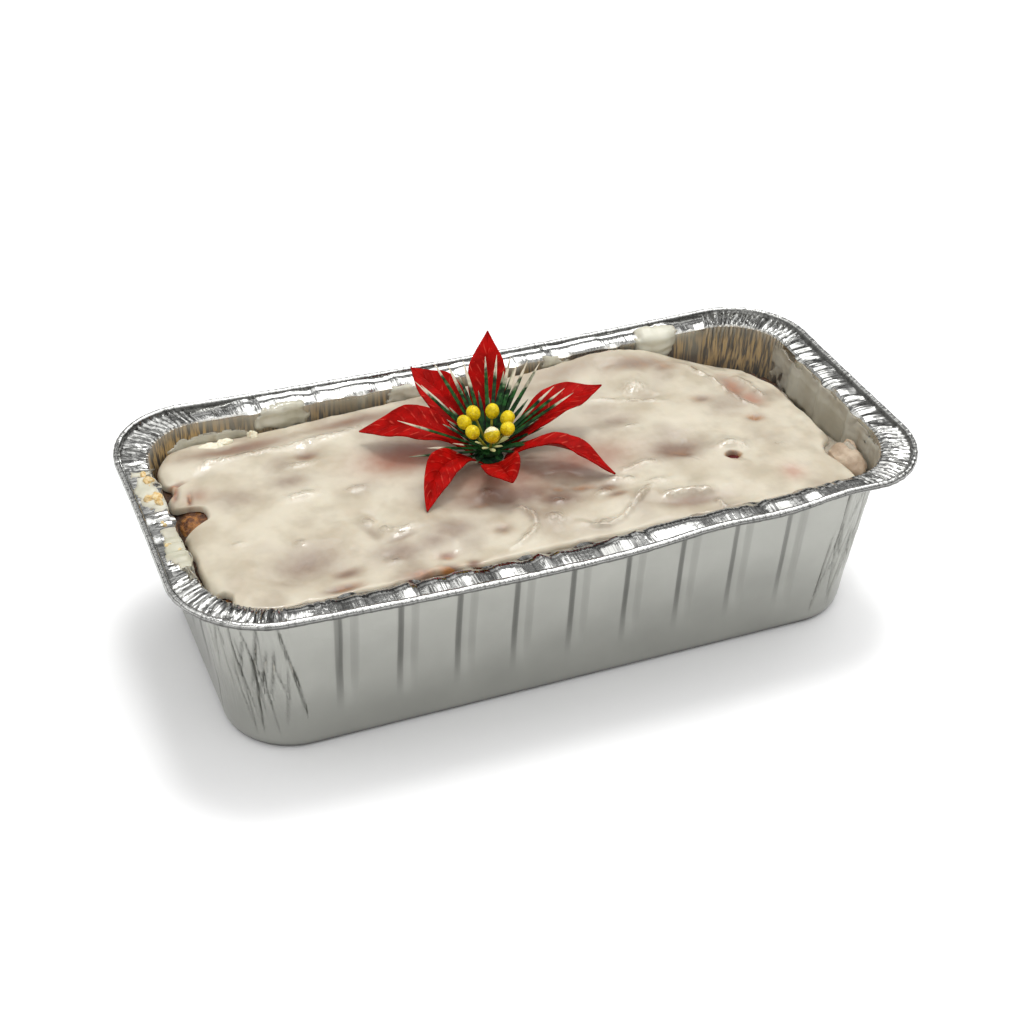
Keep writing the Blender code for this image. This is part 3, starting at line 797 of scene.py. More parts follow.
class FacetStrip:
    """Row of flat triangular facets that a bending flange breaks into."""

    def __init__(self, seed: int, half_length: float, pitch: float, height: float) -> None:
        """Draw the fold lines, which run to and fro between the wall and the bead.

        Args:
            seed: seed of the draws.
            half_length: half the length of the strip.
            pitch: mean distance between two folds that meet the wall.
            height: greatest rise or fall of a fold's end.
        """
        draw = random.Random(seed)
        self.folds: list[tuple[float, float, float, float]] = []
        place = -half_length
        inner = (place, 0.0)
        while place < half_length:
            outer = (place + pitch * draw.uniform(0.2, 0.75), draw.uniform(-1, 1) * height)
            self.folds.append((inner[0], inner[1], outer[0], outer[1]))
            place += pitch * draw.uniform(0.7, 1.35)
            inner = (place, draw.uniform(-1, 1) * height)
            self.folds.append((inner[0], inner[1], outer[0], outer[1]))

    def rise(self, place: float, share: float) -> float:
        """Height of the facets at a place along the strip, share 0 at the wall to 1 at the bead."""
        low, high = 0, len(self.folds) - 1
        while high - low > 1:
            middle = (low + high) // 2
            if self._at(middle, share)[0] <= place:
                low = middle
            else:
                high = middle
        (start, start_rise), (end, end_rise) = self._at(low, share), self._at(high, share)
        if end - start < 1e-6:
            return start_rise
        return blend(start_rise, end_rise, clamp((place - start) / (end - start)))

    def _at(self, index: int, share: float) -> tuple[float, float]:
        """Place and height of one fold at a share of the strip's width."""
        inner, inner_rise, outer, outer_rise = self.folds[index]
        return blend(inner, outer, share), blend(inner_rise, outer_rise, share)


@dataclass
class FoilTin:
    """The foil tin: fluted walls, pleated corners, crimped flange and rolled bead, as one closed sheet."""

    pleats: int = 22  # round each corner
    cells_per_pleat: int = 5
    crimps: int = 18  # coarser ribs of the flange round each corner
    crimp_pitch: float = 2.9  # of the flange's ribs next to a corner
    fold_pitch: float = 3.4  # of the flange's folds along the short sides
    flute_pitch: float = 16.1
    flute_floor: float = 1.0  # half width of a flute's floor
    flute_edge: float = 2.9  # half width of its mouth
    flute_depth: float = 0.8
    flute_foot: float = 8.0  # mean level where a flute starts
    flute_rise: float = 16.0  # height over which it reaches its depth
    long_flutes: int = 9
    short_flutes: int = 3
    flute_margin: float = 0.4  # least distance of a station from the corner
    flute_stations: tuple[float, ...] = (0.0, 0.8, 1.2, 1.9, 2.7, 3.1, 3.6, 4.5, 5.4, 6.3, 7.2, 8.05)
    pleat_depth: float = 0.30
    crease_width: float = 0.011
    creases_per_corner: int = 28
    crease_tops: tuple[float, float] = (28, 51)
    crease_drops: tuple[float, float] = (10, 36)
    crease_slant: float = 0.16
    lowest_crease: float = 4.0
    deep_creases: tuple[float, float] = (0.20, 0.62)  # depths at the front corners
    faint_creases: tuple[float, float] = (0.12, 0.32)  # depths at the back corners
    facet_pitch: float = 3.0
    facet_height: float = 0.72
    facet_reach: float = 100.0  # half length of each strip of facets
    wall_bend: float = 12.0  # folds sharper than this, in degrees, are drawn as creases
    bead_bend: float = 40.0
    seed: int = 11

    def __post_init__(self) -> None:
        """Draw the creases and the flange's facets."""
        draw = random.Random(self.seed)
        self.creases = [self._draw_crease(side, draw) for side in Side
                        for _ in range(self.creases_per_corner)]
        strip = (self.facet_reach, self.facet_pitch, self.facet_height)
        self.facets = {side: FacetStrip(self.seed + side.value, *strip) for side in Side}

    def _draw_crease(self, side: Side, draw: random.Random) -> Crease:
        """One random crease of the corner that follows a side."""
        share = draw.uniform(0.03, 0.97)
        top = draw.uniform(*self.crease_tops)
        depth = draw.uniform(*(self.deep_creases if side in (Side.LEFT, Side.FRONT) else self.faint_creases))
        low_share = share + draw.uniform(-self.crease_slant, self.crease_slant)
        low = max(self.lowest_crease, top - draw.uniform(*self.crease_drops))
        return Crease(side, share, top, low_share, low, depth)

    def stations(self) -> list[Station]:
        """Every station, counter-clockwise from the front's left end."""
        found = []
        for side in Side:
            count = self.flute_count(side)
            reach = Station(side, False, 0.0).reach
            offsets = [-offset for offset in self.flute_stations[:0:-1]] + list(self.flute_stations[:-1])
            places = [(flute - (count - 1) / 2) * self.flute_pitch + offset
                      for flute in range(count) for offset in offsets]
            inside = [place for place in places if abs(place) < reach - self.flute_margin]
            found += [Station(side, False, place / reach) for place in [-reach, *inside]]
            steps = self.pleats * self.cells_per_pleat
            found += [Station(side, True, index / steps) for index in range(steps)]
        return found

    def flute_count(self, side: Side) -> int:
        """Number of flutes in a side."""
        return self.long_flutes if side.long else self.short_flutes

    def nearest_flute(self, side: Side, place: float) -> tuple[int, float]:
        """Number of the flute nearest to a place along a side, and how far past its middle the place is."""
        last = self.flute_count(side) - 1
        number = clamp(round(place / self.flute_pitch + last / 2), 0, last)
        return number, place - (number - last / 2) * self.flute_pitch

    def wall_relief(self, station: Station, place: float, level: float, point: Vector) -> float:
        """How far the wall stands out of its plain form."""
        relief = 0.36 * rough(point.x, point.y, level, 17) * ease(2, 14, level) * (1 - ease(44, 53, level))
        relief += 0.07 * rough(point.x, point.y, level, 4) * ease(4, 12, level)
        if not station.corner:
            number, off = self.nearest_flute(station.side, place)
            foot = self.flute_foot + 5 * rough(number * 5.3, station.side.value * 3.1, 0, 1)
            pressed = 1 - clamp((abs(off) - self.flute_floor) / (self.flute_edge - self.flute_floor))
            return relief - self.flute_depth * pressed * ease(foot, foot + self.flute_rise, level)
        share = station.share
        edge = ease(0.0, 0.06, share) * (1 - ease(0.94, 1.0, share))
        sway = 0.9 * rough(share * 9, level / 9, station.side.value * 7.7, 1)
        pleat = abs(math.sin(math.pi * (share * self.pleats + sway * (1 - ease(44, 53, level))))) - 0.55
        depth = self.pleat_depth * blend(0.32, 1.0, ease(40, 53, level)) * ease(4, 26, level)
        relief += pleat * depth * edge
        relief += 0.13 * rough(point.x, point.y, level * 0.2, 1.5) * edge * ease(6, 16, level)
        for crease in self.creases:
            if crease.side is station.side:
                relief -= crease.groove(share, level, self.crease_width)
        return relief

    def flange_relief(self, station: Station, place: float, share: float) -> float:
        """Height of the flange's facets and crimps, share 0 at the wall to 1 at the bead."""
        hold = ease(1.0, 0.84, share)
        if station.corner:
            wander = 0.7 * rough(station.share * 7, share * 1.5, station.side.value * 3.3, 1)
            crimp = abs(math.sin(math.pi * (station.share * self.crimps + wander))) - 0.6
            return (0.55 * crimp + 0.10 * rough(station.share * 60, share * 5, 0, 1)) * hold
        straight = station.reach
        into_corner = ease(straight - 9, straight, abs(place))
        facet = self.facets[station.side].rise(place, share)
        crimp = abs(math.sin(math.pi * (place - straight) / self.crimp_pitch)) - 0.6
        crimps = 0.6 * crimp * ease(1.0, 0.4, share)
        if not station.side.long:
            slow = abs(math.sin(math.pi * place / self.fold_pitch + 2.2 * rough(place, share, 0, 5))) - 0.5
            facet = 0.6 * facet + 0.6 * slow * ease(0.75, 0.25, share)
        if station.side is Side.BACK:
            steps = 0.6 * (ease(0.0, 0.53, share) - ease(0.53, 0.62, share)) + 0.5 * ease(0.62, 0.86, share)
            facet = 0.7 * facet + steps
        return blend(facet, crimps, into_corner) * hold

    def lip_drop(self, station: Station) -> float:
        """How far the flange's inner edge is rounded down: most along the front."""
        front = {Side.FRONT: 1 - station.share, Side.LEFT: station.share}.get(station.side, 0.0)
        if not station.corner:
            front = 1.0 if station.side is Side.FRONT else 0.0
        return blend(0.3, 1.15, front)

    def rows(self) -> list[tuple[Zone, float]]:
        """Rings of the closed sheet, each in its zone, in the zone's measure.

        Returns:
            The rings: levels in mm on the walls, shares of the width on the flange, degrees on the rest.
        """
        rings = {
            Zone.INSIDE_FLOOR: (0.0,),
            Zone.INSIDE_WALL: (3.5, 14, 26, 34, 38, 40.5, 42.5, 44, 45.5, 47, 48.3, 49.5, 50.5, 51.4, 52.1,
                               52.6),
            Zone.FLANGE_TOP: (0.03, 0.09, 0.17, 0.26, 0.35, 0.44, 0.53, 0.62, 0.71, 0.79, 0.86),
            Zone.BEAD: (172, *range(150, -1, -25), -30, -60, -90, -125, -160),
            Zone.FLANGE_UNDER: (0.82, 0.6, 0.35, 0.12),
            Zone.OUTSIDE_WALL: (52.3, 51.6, 50.5, 49, 47.2, *range(45, 4, -2)),
            Zone.OUTSIDE_FLOOR: (0, 22, 45, 68, 90)}
        return [(zone, value) for zone, values in rings.items() for value in values]

    def point(self, station: Station, zone: Zone, value: float) -> Vector:
        """Point of the sheet at a station and a row."""
        if zone in (Zone.INSIDE_WALL, Zone.OUTSIDE_WALL):
            plan, out, place = station.plan(TIN.wall_size(value))
            inset = TIN.foil if zone is Zone.INSIDE_WALL else 0.0
            plan = plan + out * (self.wall_relief(station, place, value, plan) - inset)
            return TIN.bent(plan.x, plan.y, value - self.lip_drop(station) * ease(46, 52.6, value))
        if zone in (Zone.INSIDE_FLOOR, Zone.OUTSIDE_FLOOR):
            angle = math.radians(value if zone is Zone.OUTSIDE_FLOOR else 90)
            plan, out, _ = station.plan(TIN.wall_size(TIN.base_fillet * (1 - math.sin(angle))))
            plan = plan - out * TIN.base_fillet * 0.55 * (1 - math.cos(angle))
            level = TIN.base_fillet * (1 - math.sin(angle)) + (TIN.foil if zone is Zone.INSIDE_FLOOR else 0.0)
            return TIN.bent(plan.x, plan.y, level)
        if zone is Zone.BEAD:
            angle = math.radians(value)
            plan, out, _ = station.plan(TIN.flange_size(1.0))
            radius = TIN.bead_radius * (0.86 + 0.12 * rough(plan.x, plan.y, value / 40, 1.7)
                                        + 0.04 * rough(plan.x, plan.y, value / 40, 5.0))
            plan = plan + out * radius * math.cos(angle)
            return TIN.bent(plan.x, plan.y, TIN.bead_level + radius * math.sin(angle))
        plan, _, place = station.plan(TIN.flange_size(value))
        level = TIN.flange_level + self.flange_relief(station, place, value)
        level -= self.lip_drop(station) * clamp(1 - value / 0.45) ** 2
        if zone is Zone.FLANGE_UNDER:
            level -= TIN.foil
        return TIN.bent(plan.x, plan.y, level)

    def painted_shade(self, station: Station, zone: Zone, value: float) -> float:
        """Painted shade on the foil: the flutes' sides, the left ones darker, the corner creases, the
        flange's hollows and grooves, where the flange meets the bead, the bead's outer side and underside,
        the flange's underside and the foot.
        """
        if zone is Zone.BEAD:
            return 0.85 * ease(38, 8, value) + 0.75 * ease(120, 150, value)
        if zone is Zone.FLANGE_TOP:
            hollow = ease(0.05, -0.35, self.flange_relief(station, station.share * station.reach, value))
            hollow *= 0.15 if station.side is Side.BACK and not station.corner else 0.55
            groove = math.exp(-((value - 0.57) / 0.05) ** 2) if station.side is Side.BACK else 0.0
            return max(0.6 * ease(0.80, 0.86, value), hollow * ease(0.9, 0.7, value), 0.75 * groove)
        if zone is Zone.FLANGE_UNDER:
            return 0.8
        if zone is Zone.OUTSIDE_FLOOR:
            return 0.9 * ease(15, 50, value)
        if zone is not Zone.OUTSIDE_WALL:
            return 0.0
        if station.corner:
            return min(0.45, 0.7 * sum(crease.groove(station.share, value, self.crease_width)
                                       for crease in self.creases if crease.side is station.side))
        _, off = self.nearest_flute(station.side, station.share * station.reach)
        slope = ease(self.flute_floor - 0.3, self.flute_floor + 0.4, abs(off))
        slope *= ease(self.flute_edge + 0.3, self.flute_edge - 0.4, abs(off))
        # the flutes' left sides, turned from the key light, take more painted shade than their right sides
        return slope * (0.55 if off < 0 else 0.22) * ease(9, 28, value)

    def stain(self, station: Station, zone: Zone, value: float) -> float:
        """How brown the foil is where the batter has run: inside the back corners and under the back rim."""
        if zone is not Zone.INSIDE_WALL or value < 30:
            return 0.0
        low = ease(53.0, 47.5, value)
        if station.corner and station.side is Side.RIGHT:
            return blend(0.30, 0.75, low) * ease(0.0, 0.25, station.share)
        if station.corner and station.side is Side.BACK:
            return blend(0.35, 1.0, low)
        if station.side is Side.BACK:
            plan, _, _ = station.plan(TIN.wall_size(value))
            patch = 0.7 + 0.6 * rough(plan.x, plan.y, value / 3, 8)
            return clamp(blend(0.25, 1.0, low) * patch)
        return 0.25 * low

    def build(self, bench: Bench) -> None:
        """Draw the sheet's rings one after another and close both floors."""
        mesh = bmesh.new()
        mesh.verts.layers.int.new("order")
        marks = {"rim": self._rim_share, "stain": self.stain, "painted_shade": self.painted_shade, "crimp": self._crimp_share}
        layers = {name: mesh.verts.layers.float.new(name) for name in marks}
        foot = mesh.verts.layers.float_vector.new("foot")
        soft = mesh.verts.layers.int.new("soft")
        stations = self.stations()

        def shape(vert: bmesh.types.BMVert, index: int, row: tuple[Zone, float]) -> None:
            """Place one point of the sheet and note its marks."""
            vert.co = self.point(stations[index], *row)
            for name, share in marks.items():
                vert[layers[name]] = share(stations[index], *row)
            vert[foot] = stations[index].plan(TIN.wall_size(TIN.flange_level))[0].to_3d() * MM
            vert[soft] = row[0] in (Zone.BEAD, Zone.OUTSIDE_FLOOR)

        skin(mesh, len(stations), self.rows(), shape)
        bmesh.ops.recalc_face_normals(mesh, faces=mesh.faces)
        for edge in mesh.edges:
            limit = self.bead_bend if all(vert[soft] for vert in edge.verts) else self.wall_bend
            edge.smooth = edge.calc_face_angle(0) < math.radians(limit)
        bench.piece("tin_shell", mesh, FOIL, Slot.FOIL, ["foil_tin"])

    def _crimp_share(self, station: Station, zone: Zone, value: float) -> float:
        """How strongly fine crimps show, in relief and in the painted shade of their valleys: only on the
        rim, fully round the corners, least along the front.
        """
        if zone is Zone.BEAD:
            return 0.6
        if zone is not Zone.FLANGE_TOP:
            return 0.0
        if station.corner:
            return 1.0
        if station.side is Side.FRONT:
            return 0.5
        inner = 0.55 if station.side is Side.BACK else 0.9
        return blend(inner, 0.3, ease(0.40, 0.62, value))

    def _rim_share(self, _: Station, zone: Zone, value: float) -> float:
        """1 on the bright rim, 0 on the satin walls, the same all round."""
        if zone in (Zone.FLANGE_TOP, Zone.BEAD):
            return 1.0
        if zone is Zone.FLANGE_UNDER:
            return 0.6
        if zone in (Zone.INSIDE_WALL, Zone.OUTSIDE_WALL):
            return 0.5 * ease(50.5, 52.6, value)
        return 0.0


# --- the loaf's top ---
@dataclass(frozen=True)
class LoafForm:
    """The crust's form, in millimetres: a low dome, swells at its shoulders and lumps over the fruit."""

    foil_room: float = 0.4
    clearance: float = 0.95
    level: float = 47.0
    dome: float = 2.0
    dome_reach: tuple[float, float] = (95.0, 50.0)
    # lumps and hollows: middle, reach each way and rise
    swells: tuple[tuple[float, float, float, float, float], ...] = (
        (-72, 46, 30, 13, -3.6), (-30, 47, 24, 9, -1.6), (44, 42, 17, 12, 3.2), (88, 42, 20, 16, -9.0),
        (99, 4, 12, 30, -8.0), (97, -40, 13, 14, -4.5), (-99, 4, 5, 14, -3.0), (-99, -32, 4, 8, -5.0),
        (-73, -28, 9, 8, -1.2), (-85, -25, 6, 9, 0.7), (-61, -32, 4, 3, -0.7), (-62, -18, 10, 4, 0.6),
        (-56, 22, 4, 4, -0.8), (-64, 9, 5, 4, 0.7), (-47, -14, 4, 7, -1.2), (-38, -22, 8, 7, 0.9),
        (-33, -37, 5, 4, -0.9), (-16, -15, 4, 3, 0.9), (-12, -33, 7, 6, 0.8), (8, -17, 7, 4, -0.7),
        (20, -29, 9, 3, 0.9), (34, 9, 9, 6, -0.6), (46, 25, 5, 4, 1.3), (47, -8, 9, 6, -1.1),
        (41, -31, 9, 3, 0.8), (58, -14, 5, 3, 0.8), (66, 30, 8, 5, 1.0), (76, 15, 4, 10, -1.2),
        (-83, 26, 12, 4, 0.8), (-48, 28, 14, 4, 0.6))
    chunk: tuple[float, float, float, float, float] = (92.5, -25, 3.2, 5.0, 5.0)  # told like a swell

    def crust_height(self, x: float, y: float) -> float:
        """Height of the crust at a point of its plan."""
        reach_x, reach_y = self.dome_reach
        height = self.level + self.dome * clamp(1 - (x / reach_x) ** 2) * clamp(1 - (y / reach_y) ** 2)
        for centre_x, centre_y, reach_x, reach_y, rise in self.swells:
            if abs(x - centre_x) < 3 * reach_x and abs(y - centre_y) < 3 * reach_y:
                height += rise * bell(x, y, centre_x, centre_y, reach_x, reach_y)
        return height

    def chunk_height(self, x: float, y: float) -> float:
        """Extra height of the broken chunk at the right end."""
        centre_x, centre_y, reach_x, reach_y, rise = self.chunk
        return rise * clamp(1.5 * bell(x, y, centre_x, centre_y, reach_x, reach_y) - 0.25)

    def outline(self, level: float) -> tuple[float, float, float]:
        """Half length, half width and corner radius of the cake at a height."""
        half_x, half_y, corner = TIN.wall_size(level)
        inset = self.foil_room + self.clearance
        return half_x - inset, half_y - inset, corner - inset


LOAF = LoafForm()


@dataclass
class Crust:
    """The cake itself: a crumbly crust, broken open at the right end."""

    cells: tuple[int, int] = (200, 100)
    floor: float = 0.75
    sunk: float = 0.25  # how far it lies under its broad form

    def top_point(self, u: float, v: float) -> Vector:
        """Point of the top for a point of the unit square."""
        ring = max(abs(u), abs(v))
        if ring == 0:
            return Vector((0, 0, LOAF.crust_height(0, 0)))
        edge, _ = rounded_rectangle(u / ring, v / ring, *LOAF.outline(LOAF.level))
        x, y = edge * ring
        height = LOAF.crust_height(x, y) + LOAF.chunk_height(x, y) - self.sunk
        if x > 80 or x < -88 or y > 38:  # crumbly where no icing lies on it
            height += 0.45 * rough(x, y, 0, 3.1) + 0.25 * rough(x, y, 5, 1.2)
        if ring > 0.999:
            edge, _ = rounded_rectangle(u, v, *LOAF.outline(height))
            return TIN.bent(edge.x, edge.y, height, False)
        return TIN.bent(x, y, height, False)

    def build(self, bench: Bench) -> None:
        """Make the crust's top, carry it down the sloping wall and close the base."""
        mesh = bmesh.new()
        burnt = mesh.verts.layers.float.new("burnt")
        filmed = mesh.verts.layers.float.new("filmed")
        lattice(mesh, self.cells, self.top_point)
        top_x, top_y, _ = LOAF.outline(LOAF.level)
        for vert in mesh.verts:
            deep = ease(84, 93, vert.co.x) * ease(-18, -8, vert.co.y) + ease(-93, -97, vert.co.x)
            deep += ease(0.93, 0.99, max(abs(vert.co.x) / top_x, abs(vert.co.y) / top_y))
            vert[burnt] = 0.85 * clamp(deep)
            right_end = ease(84, 87, vert.co.x) * (1 - ease(17, 23, vert.co.y)) * ease(-44, -38, vert.co.y)
            vert[filmed] = max(right_end, 0.85 * ease(-39.5, -41.5, vert.co.y))
        for level, inset in ((TIN.base_fillet + 1, 0.0), (self.floor, TIN.base_fillet * 0.7)):
            half_x, half_y, corner = LOAF.outline(level)
            border = [edge for edge in mesh.edges if edge.is_boundary]
            skirt = bmesh.ops.extrude_edge_only(mesh, edges=border)["geom"]
            for vert in (item for item in skirt if isinstance(item, bmesh.types.BMVert)):
                u, v = vert.co.x / top_x, vert.co.y / top_y
                ring = max(abs(u), abs(v))
                size = (half_x - inset, half_y - inset, corner - inset)
                edge, _ = rounded_rectangle(u / ring, v / ring, *size)
                vert.co = TIN.bent(edge.x, edge.y, level, False)
        bmesh.ops.contextual_create(mesh, geom=[edge for edge in mesh.edges if edge.is_boundary])
        bmesh.ops.recalc_face_normals(mesh, faces=mesh.faces)
        bench.piece("cake_crust", mesh, CRUST, Slot.CRUST, ["cake"])


# --- icing ---
HOLE = (56.8, -19.9)  # where a berry shows through the icing


@dataclass(frozen=True)
class Mark:
    """A small lump or hollow of the icing, how far crust and fruit show through it, and its painted shade and
    red bounce light.
    """

    x: float
    y: float
    reach_x: float
    reach_y: float
    rise: float = 0.0
    thin_and_shade: float = 0.0
    crumb: float = 0.0
    fruit_and_red_bounce: float = 0.0
    turn: float = 0.0
    wet: float = 0.0
    hard: float = 1.0  # more for a steeper edge

    def weight(self, x: float, y: float) -> float:
        """1 at the middle of the mark, fading to 0 round it."""
        if abs(x - self.x) + abs(y - self.y) > 3.6 * (self.reach_x + self.reach_y):
            return 0.0
        local = turned_plan(x - self.x, y - self.y, -math.radians(self.turn))
        return math.exp(-((local.x / self.reach_x) ** 2 + (local.y / self.reach_y) ** 2) ** self.hard)


@dataclass(frozen=True)
class Fold:
    """A ridge where the icing ran and set: a line of points, its width and its height."""

    points: tuple[tuple[float, float], ...]
    width: float
    rise: float

    def height(self, x: float, y: float) -> float:
        """Height of the ridge at a point of the plan; it fades out towards its ends."""
        nearest, travelled = math.inf, 0.0
        for index, (start, end) in enumerate(zip(self.points, self.points[1:])):
            run = Vector(end) - Vector(start)
            offset = Vector((x, y)) - Vector(start)
            share = clamp(offset.dot(run) / run.length_squared)
            distance = (offset - run * share).length
            if distance < nearest:
                nearest = distance
                travelled = (index + share) / (len(self.points) - 1)
        fade = min(1.0, 5 * travelled, 5 * (1 - travelled))
        return fade * (self.rise * math.exp(-(nearest / self.width) ** 2))


@dataclass
class Icing:
    """The poured icing, a lumpy skin over the crust with bays and holes where the crust shows."""

    cells: tuple[int, int] = (300, 150)
    gap: float = 0.12
    thickness: float = 1.68
    lip: float = 1.3  # over which its edge is rounded
    show: float = 1.35  # how strongly thin places and painted shade show
    crowd: float = 1.3  # how far the cells crowd towards the edge
    # its uneven top: rise, seed and size of the waves
    waves: tuple[tuple[float, float, float], ...] = ((0.42, 0, 10.0), (0.12, 4, 3.6), (0.03, 8, 1.5))
    setbacks: tuple[tuple[Side, float], ...] = (
        (Side.FRONT, 0.4), (Side.BACK, 0.5), (Side.LEFT, 0.5), (Side.RIGHT, 5.0))
    # where the edge stands back further: side, place along it, reach and depth
    bays: tuple[tuple[Side, float, float, float], ...] = (
        (Side.LEFT, 4.2, 5.0, 8.4), (Side.LEFT, 18, 2.4, 1.8), (Side.LEFT, -33, 2.8, 2.6),
        (Side.FRONT, -37, 6, 1.4), (Side.RIGHT, -28, 10, 7.5), (Side.RIGHT, 26, 9, 4.0),
        (Side.BACK, 78, 14, 3.0), (Side.BACK, -45, 16, 0.5))
    marks: tuple[Mark, ...] = (
        Mark(-55.6, 20.5, 3.4, 2.4, -0.35, 0.75, 0.25),  # dimples and hollows of the left part, with painted shade in the hollows
        Mark(-63.6, 9, 5.5, 3.6, -0.35, 0.55),
        Mark(-47.2, 1, 2.4, 1.5, -0.3, 0.25),
        Mark(-68.5, -17.5, 1.3, 0.9, -0.25, 0.3),
        Mark(-74.9, -31, 7, 5, -0.2, 0.3),
        Mark(-61.3, -33.7, 4.2, 2.2, -0.3, 0.75, 0.15),
        Mark(-69.5, -26.5, 10, 6.5, -0.25, 0.62),
        Mark(-64, -39.6, 4.6, 1.6, -0.45, 0.8, 0.4),
        Mark(-50.2, -19.9, 1.6, 5.5, -0.55, 0.45, turn=12),
        Mark(-44, -25.4, 6.5, 1.6, -0.45, 0.5, turn=8),
        Mark(-36.5, -30, 7, 4, 0, 0.55),
        Mark(-46, -31, 8, 5, -0.25, 0.62),
        Mark(-34.9, -35.7, 2.4, 1.3, -0.45, 0.5, 0.55, 0.25),
        Mark(-29.7, -41.3, 1.7, 1.6, -0.55, 0.4, 0.85),
        Mark(-36.2, -41, 3, 1.7, -0.55, 0.2, 1),
        Mark(-43.5, -41.2, 4.2, 1.5, -0.2, 0.3, 0.55, 0.2),
        Mark(-11, -18, 17, 5.5, -0.2, 0.85, turn=-8),  # thin icing in front of the flower, with the front bract's painted shadow
        Mark(2, -23, 8, 5, -0.25, 0.8),
        Mark(-30, -27, 8, 5, 0, 0.6),
        Mark(-19.3, -19.1, 3, 1.6, -0.3, 0.3, 0.35),
        Mark(-13.6, -17.2, 0.9, 0.8, 0.4),
        Mark(-17.5, -31, 2.6, 1.8, -0.35, 0.4, 0.35),
        Mark(4, -18.6, 3, 1.3, -0.35, 0.45, 0.35, turn=-20),
        Mark(10.1, -20.8, 3.2, 1.4, -0.4, 0.4, 0.55, turn=-20),
        Mark(5, -25.3, 0.9, 0.8, 0.4),
        Mark(-2.6, -30.5, 3.2, 3, 0.55),
        Mark(16.5, -23, 3.6, 2.4, -0.35, 0.6, 0.25),
        Mark(17.5, -27.3, 3, 1.5, -0.35, 0.5, 0.45),
        Mark(0, -42.6, 2.4, 1.1, -0.3, 0.35),
        Mark(16.6, -44, 2, 0.8, 0.15, 0, 0.45),
        Mark(36.5, -35.6, 9.5, 2.7, -0.6, 0.68, 0.1, turn=-6),  # hollow behind the right front edge, with painted shade
        Mark(44, -42, 5, 2.5, 0, 0.35),
        Mark(32.7, 7, 6, 3.4, -0.4, 0.55),  # right part
        Mark(47.6, 15.4, 3.6, 1.4, -0.55, 0.25),
        Mark(42.8, -11.5, 9, 5.2, -0.5, 0.85),
        Mark(43.5, -14, 4.2, 2.4, -0.4, 0.9, 0.3, turn=-25),
        Mark(44.9, -17.2, 0.55, 0.55, -0.8, 0, 1),
        Mark(62.2, 9.7, 3, 2, -0.4, 0.45, 0.45),
        Mark(66.5, 4, 6, 5, -0.1, 0.4),
        Mark(75.4, 15, 3, 7, -0.55, 0.6, 0.4, 0.35, turn=-6),
        Mark(77.2, 7, 2.4, 4.5, -0.35, 0.35, 0.15, 0.55, turn=12),
        Mark(72.2, -4.3, 2.6, 2, -0.35, 0.35, 0.7),
        Mark(72.2, -4.3, 0.85, 0.85, -1.1, 0, 1),
        Mark(69, -32.2, 3.4, 3.4, 0, 0.1, 0, 0.5),
        Mark(*HOLE, 2.5, 1.9, 0, 0, 1, hard=4),  # hole over a berry
        Mark(*HOLE, 2.1, 1.5, -2.6, 0, 1, hard=3),
        Mark(72.6, -18.4, 2, 1.2, -0.15, 0.15, wet=0.5),
        Mark(-92.6, 19.6, 2.2, 0.6, -0.8, 0.4, 0.9, 0.2, turn=8),  # cracks above the bare patch
        Mark(-93.6, 16, 0.7, 3.2, -0.9, 0.4, 0.9, 0.2, turn=-20),
        Mark(-90.9, 11.5, 0.65, 3, -0.9, 0.4, 1, 0.1, turn=-12),
        Mark(-88.5, 12, 3.5, 3, 0, 0.35, 0.1, 0.2),
        Mark(-72, 31.5, 15, 3.6, -0.15, 0.8, 0.12, 0.1, turn=2),  # band behind the long fold
        Mark(-38, 33, 14, 3.4, -0.1, 0.7, 0.15, 0.06),
        Mark(-8, 36, 12, 4, 0, 0.45, 0.1),
        Mark(30, 36, 14, 4, 0, 0.35, 0.1),
        Mark(52, 33, 12, 3.4, -0.25, 0.6, 0.25),
        Mark(58.5, 30, 3, 2, -0.2, 0.3, 0.45),
        Mark(-29, 9, 13, 6.5, 0, 0.65, 0, 0.8),  # painted shadow and red bounce light beside and under the flower
        Mark(-9, -9, 16, 8, 0, 0.65, 0, 0.45),
        Mark(14, -9, 14, 7, 0, 0.55, 0, 0.5),
        Mark(-45, 43.5, 34, 5, 1.4),  # thick lips at the back and the right end
        Mark(-88, 34, 9, 9, 0.8),
        Mark(90, 0, 5, 20, 1.8))
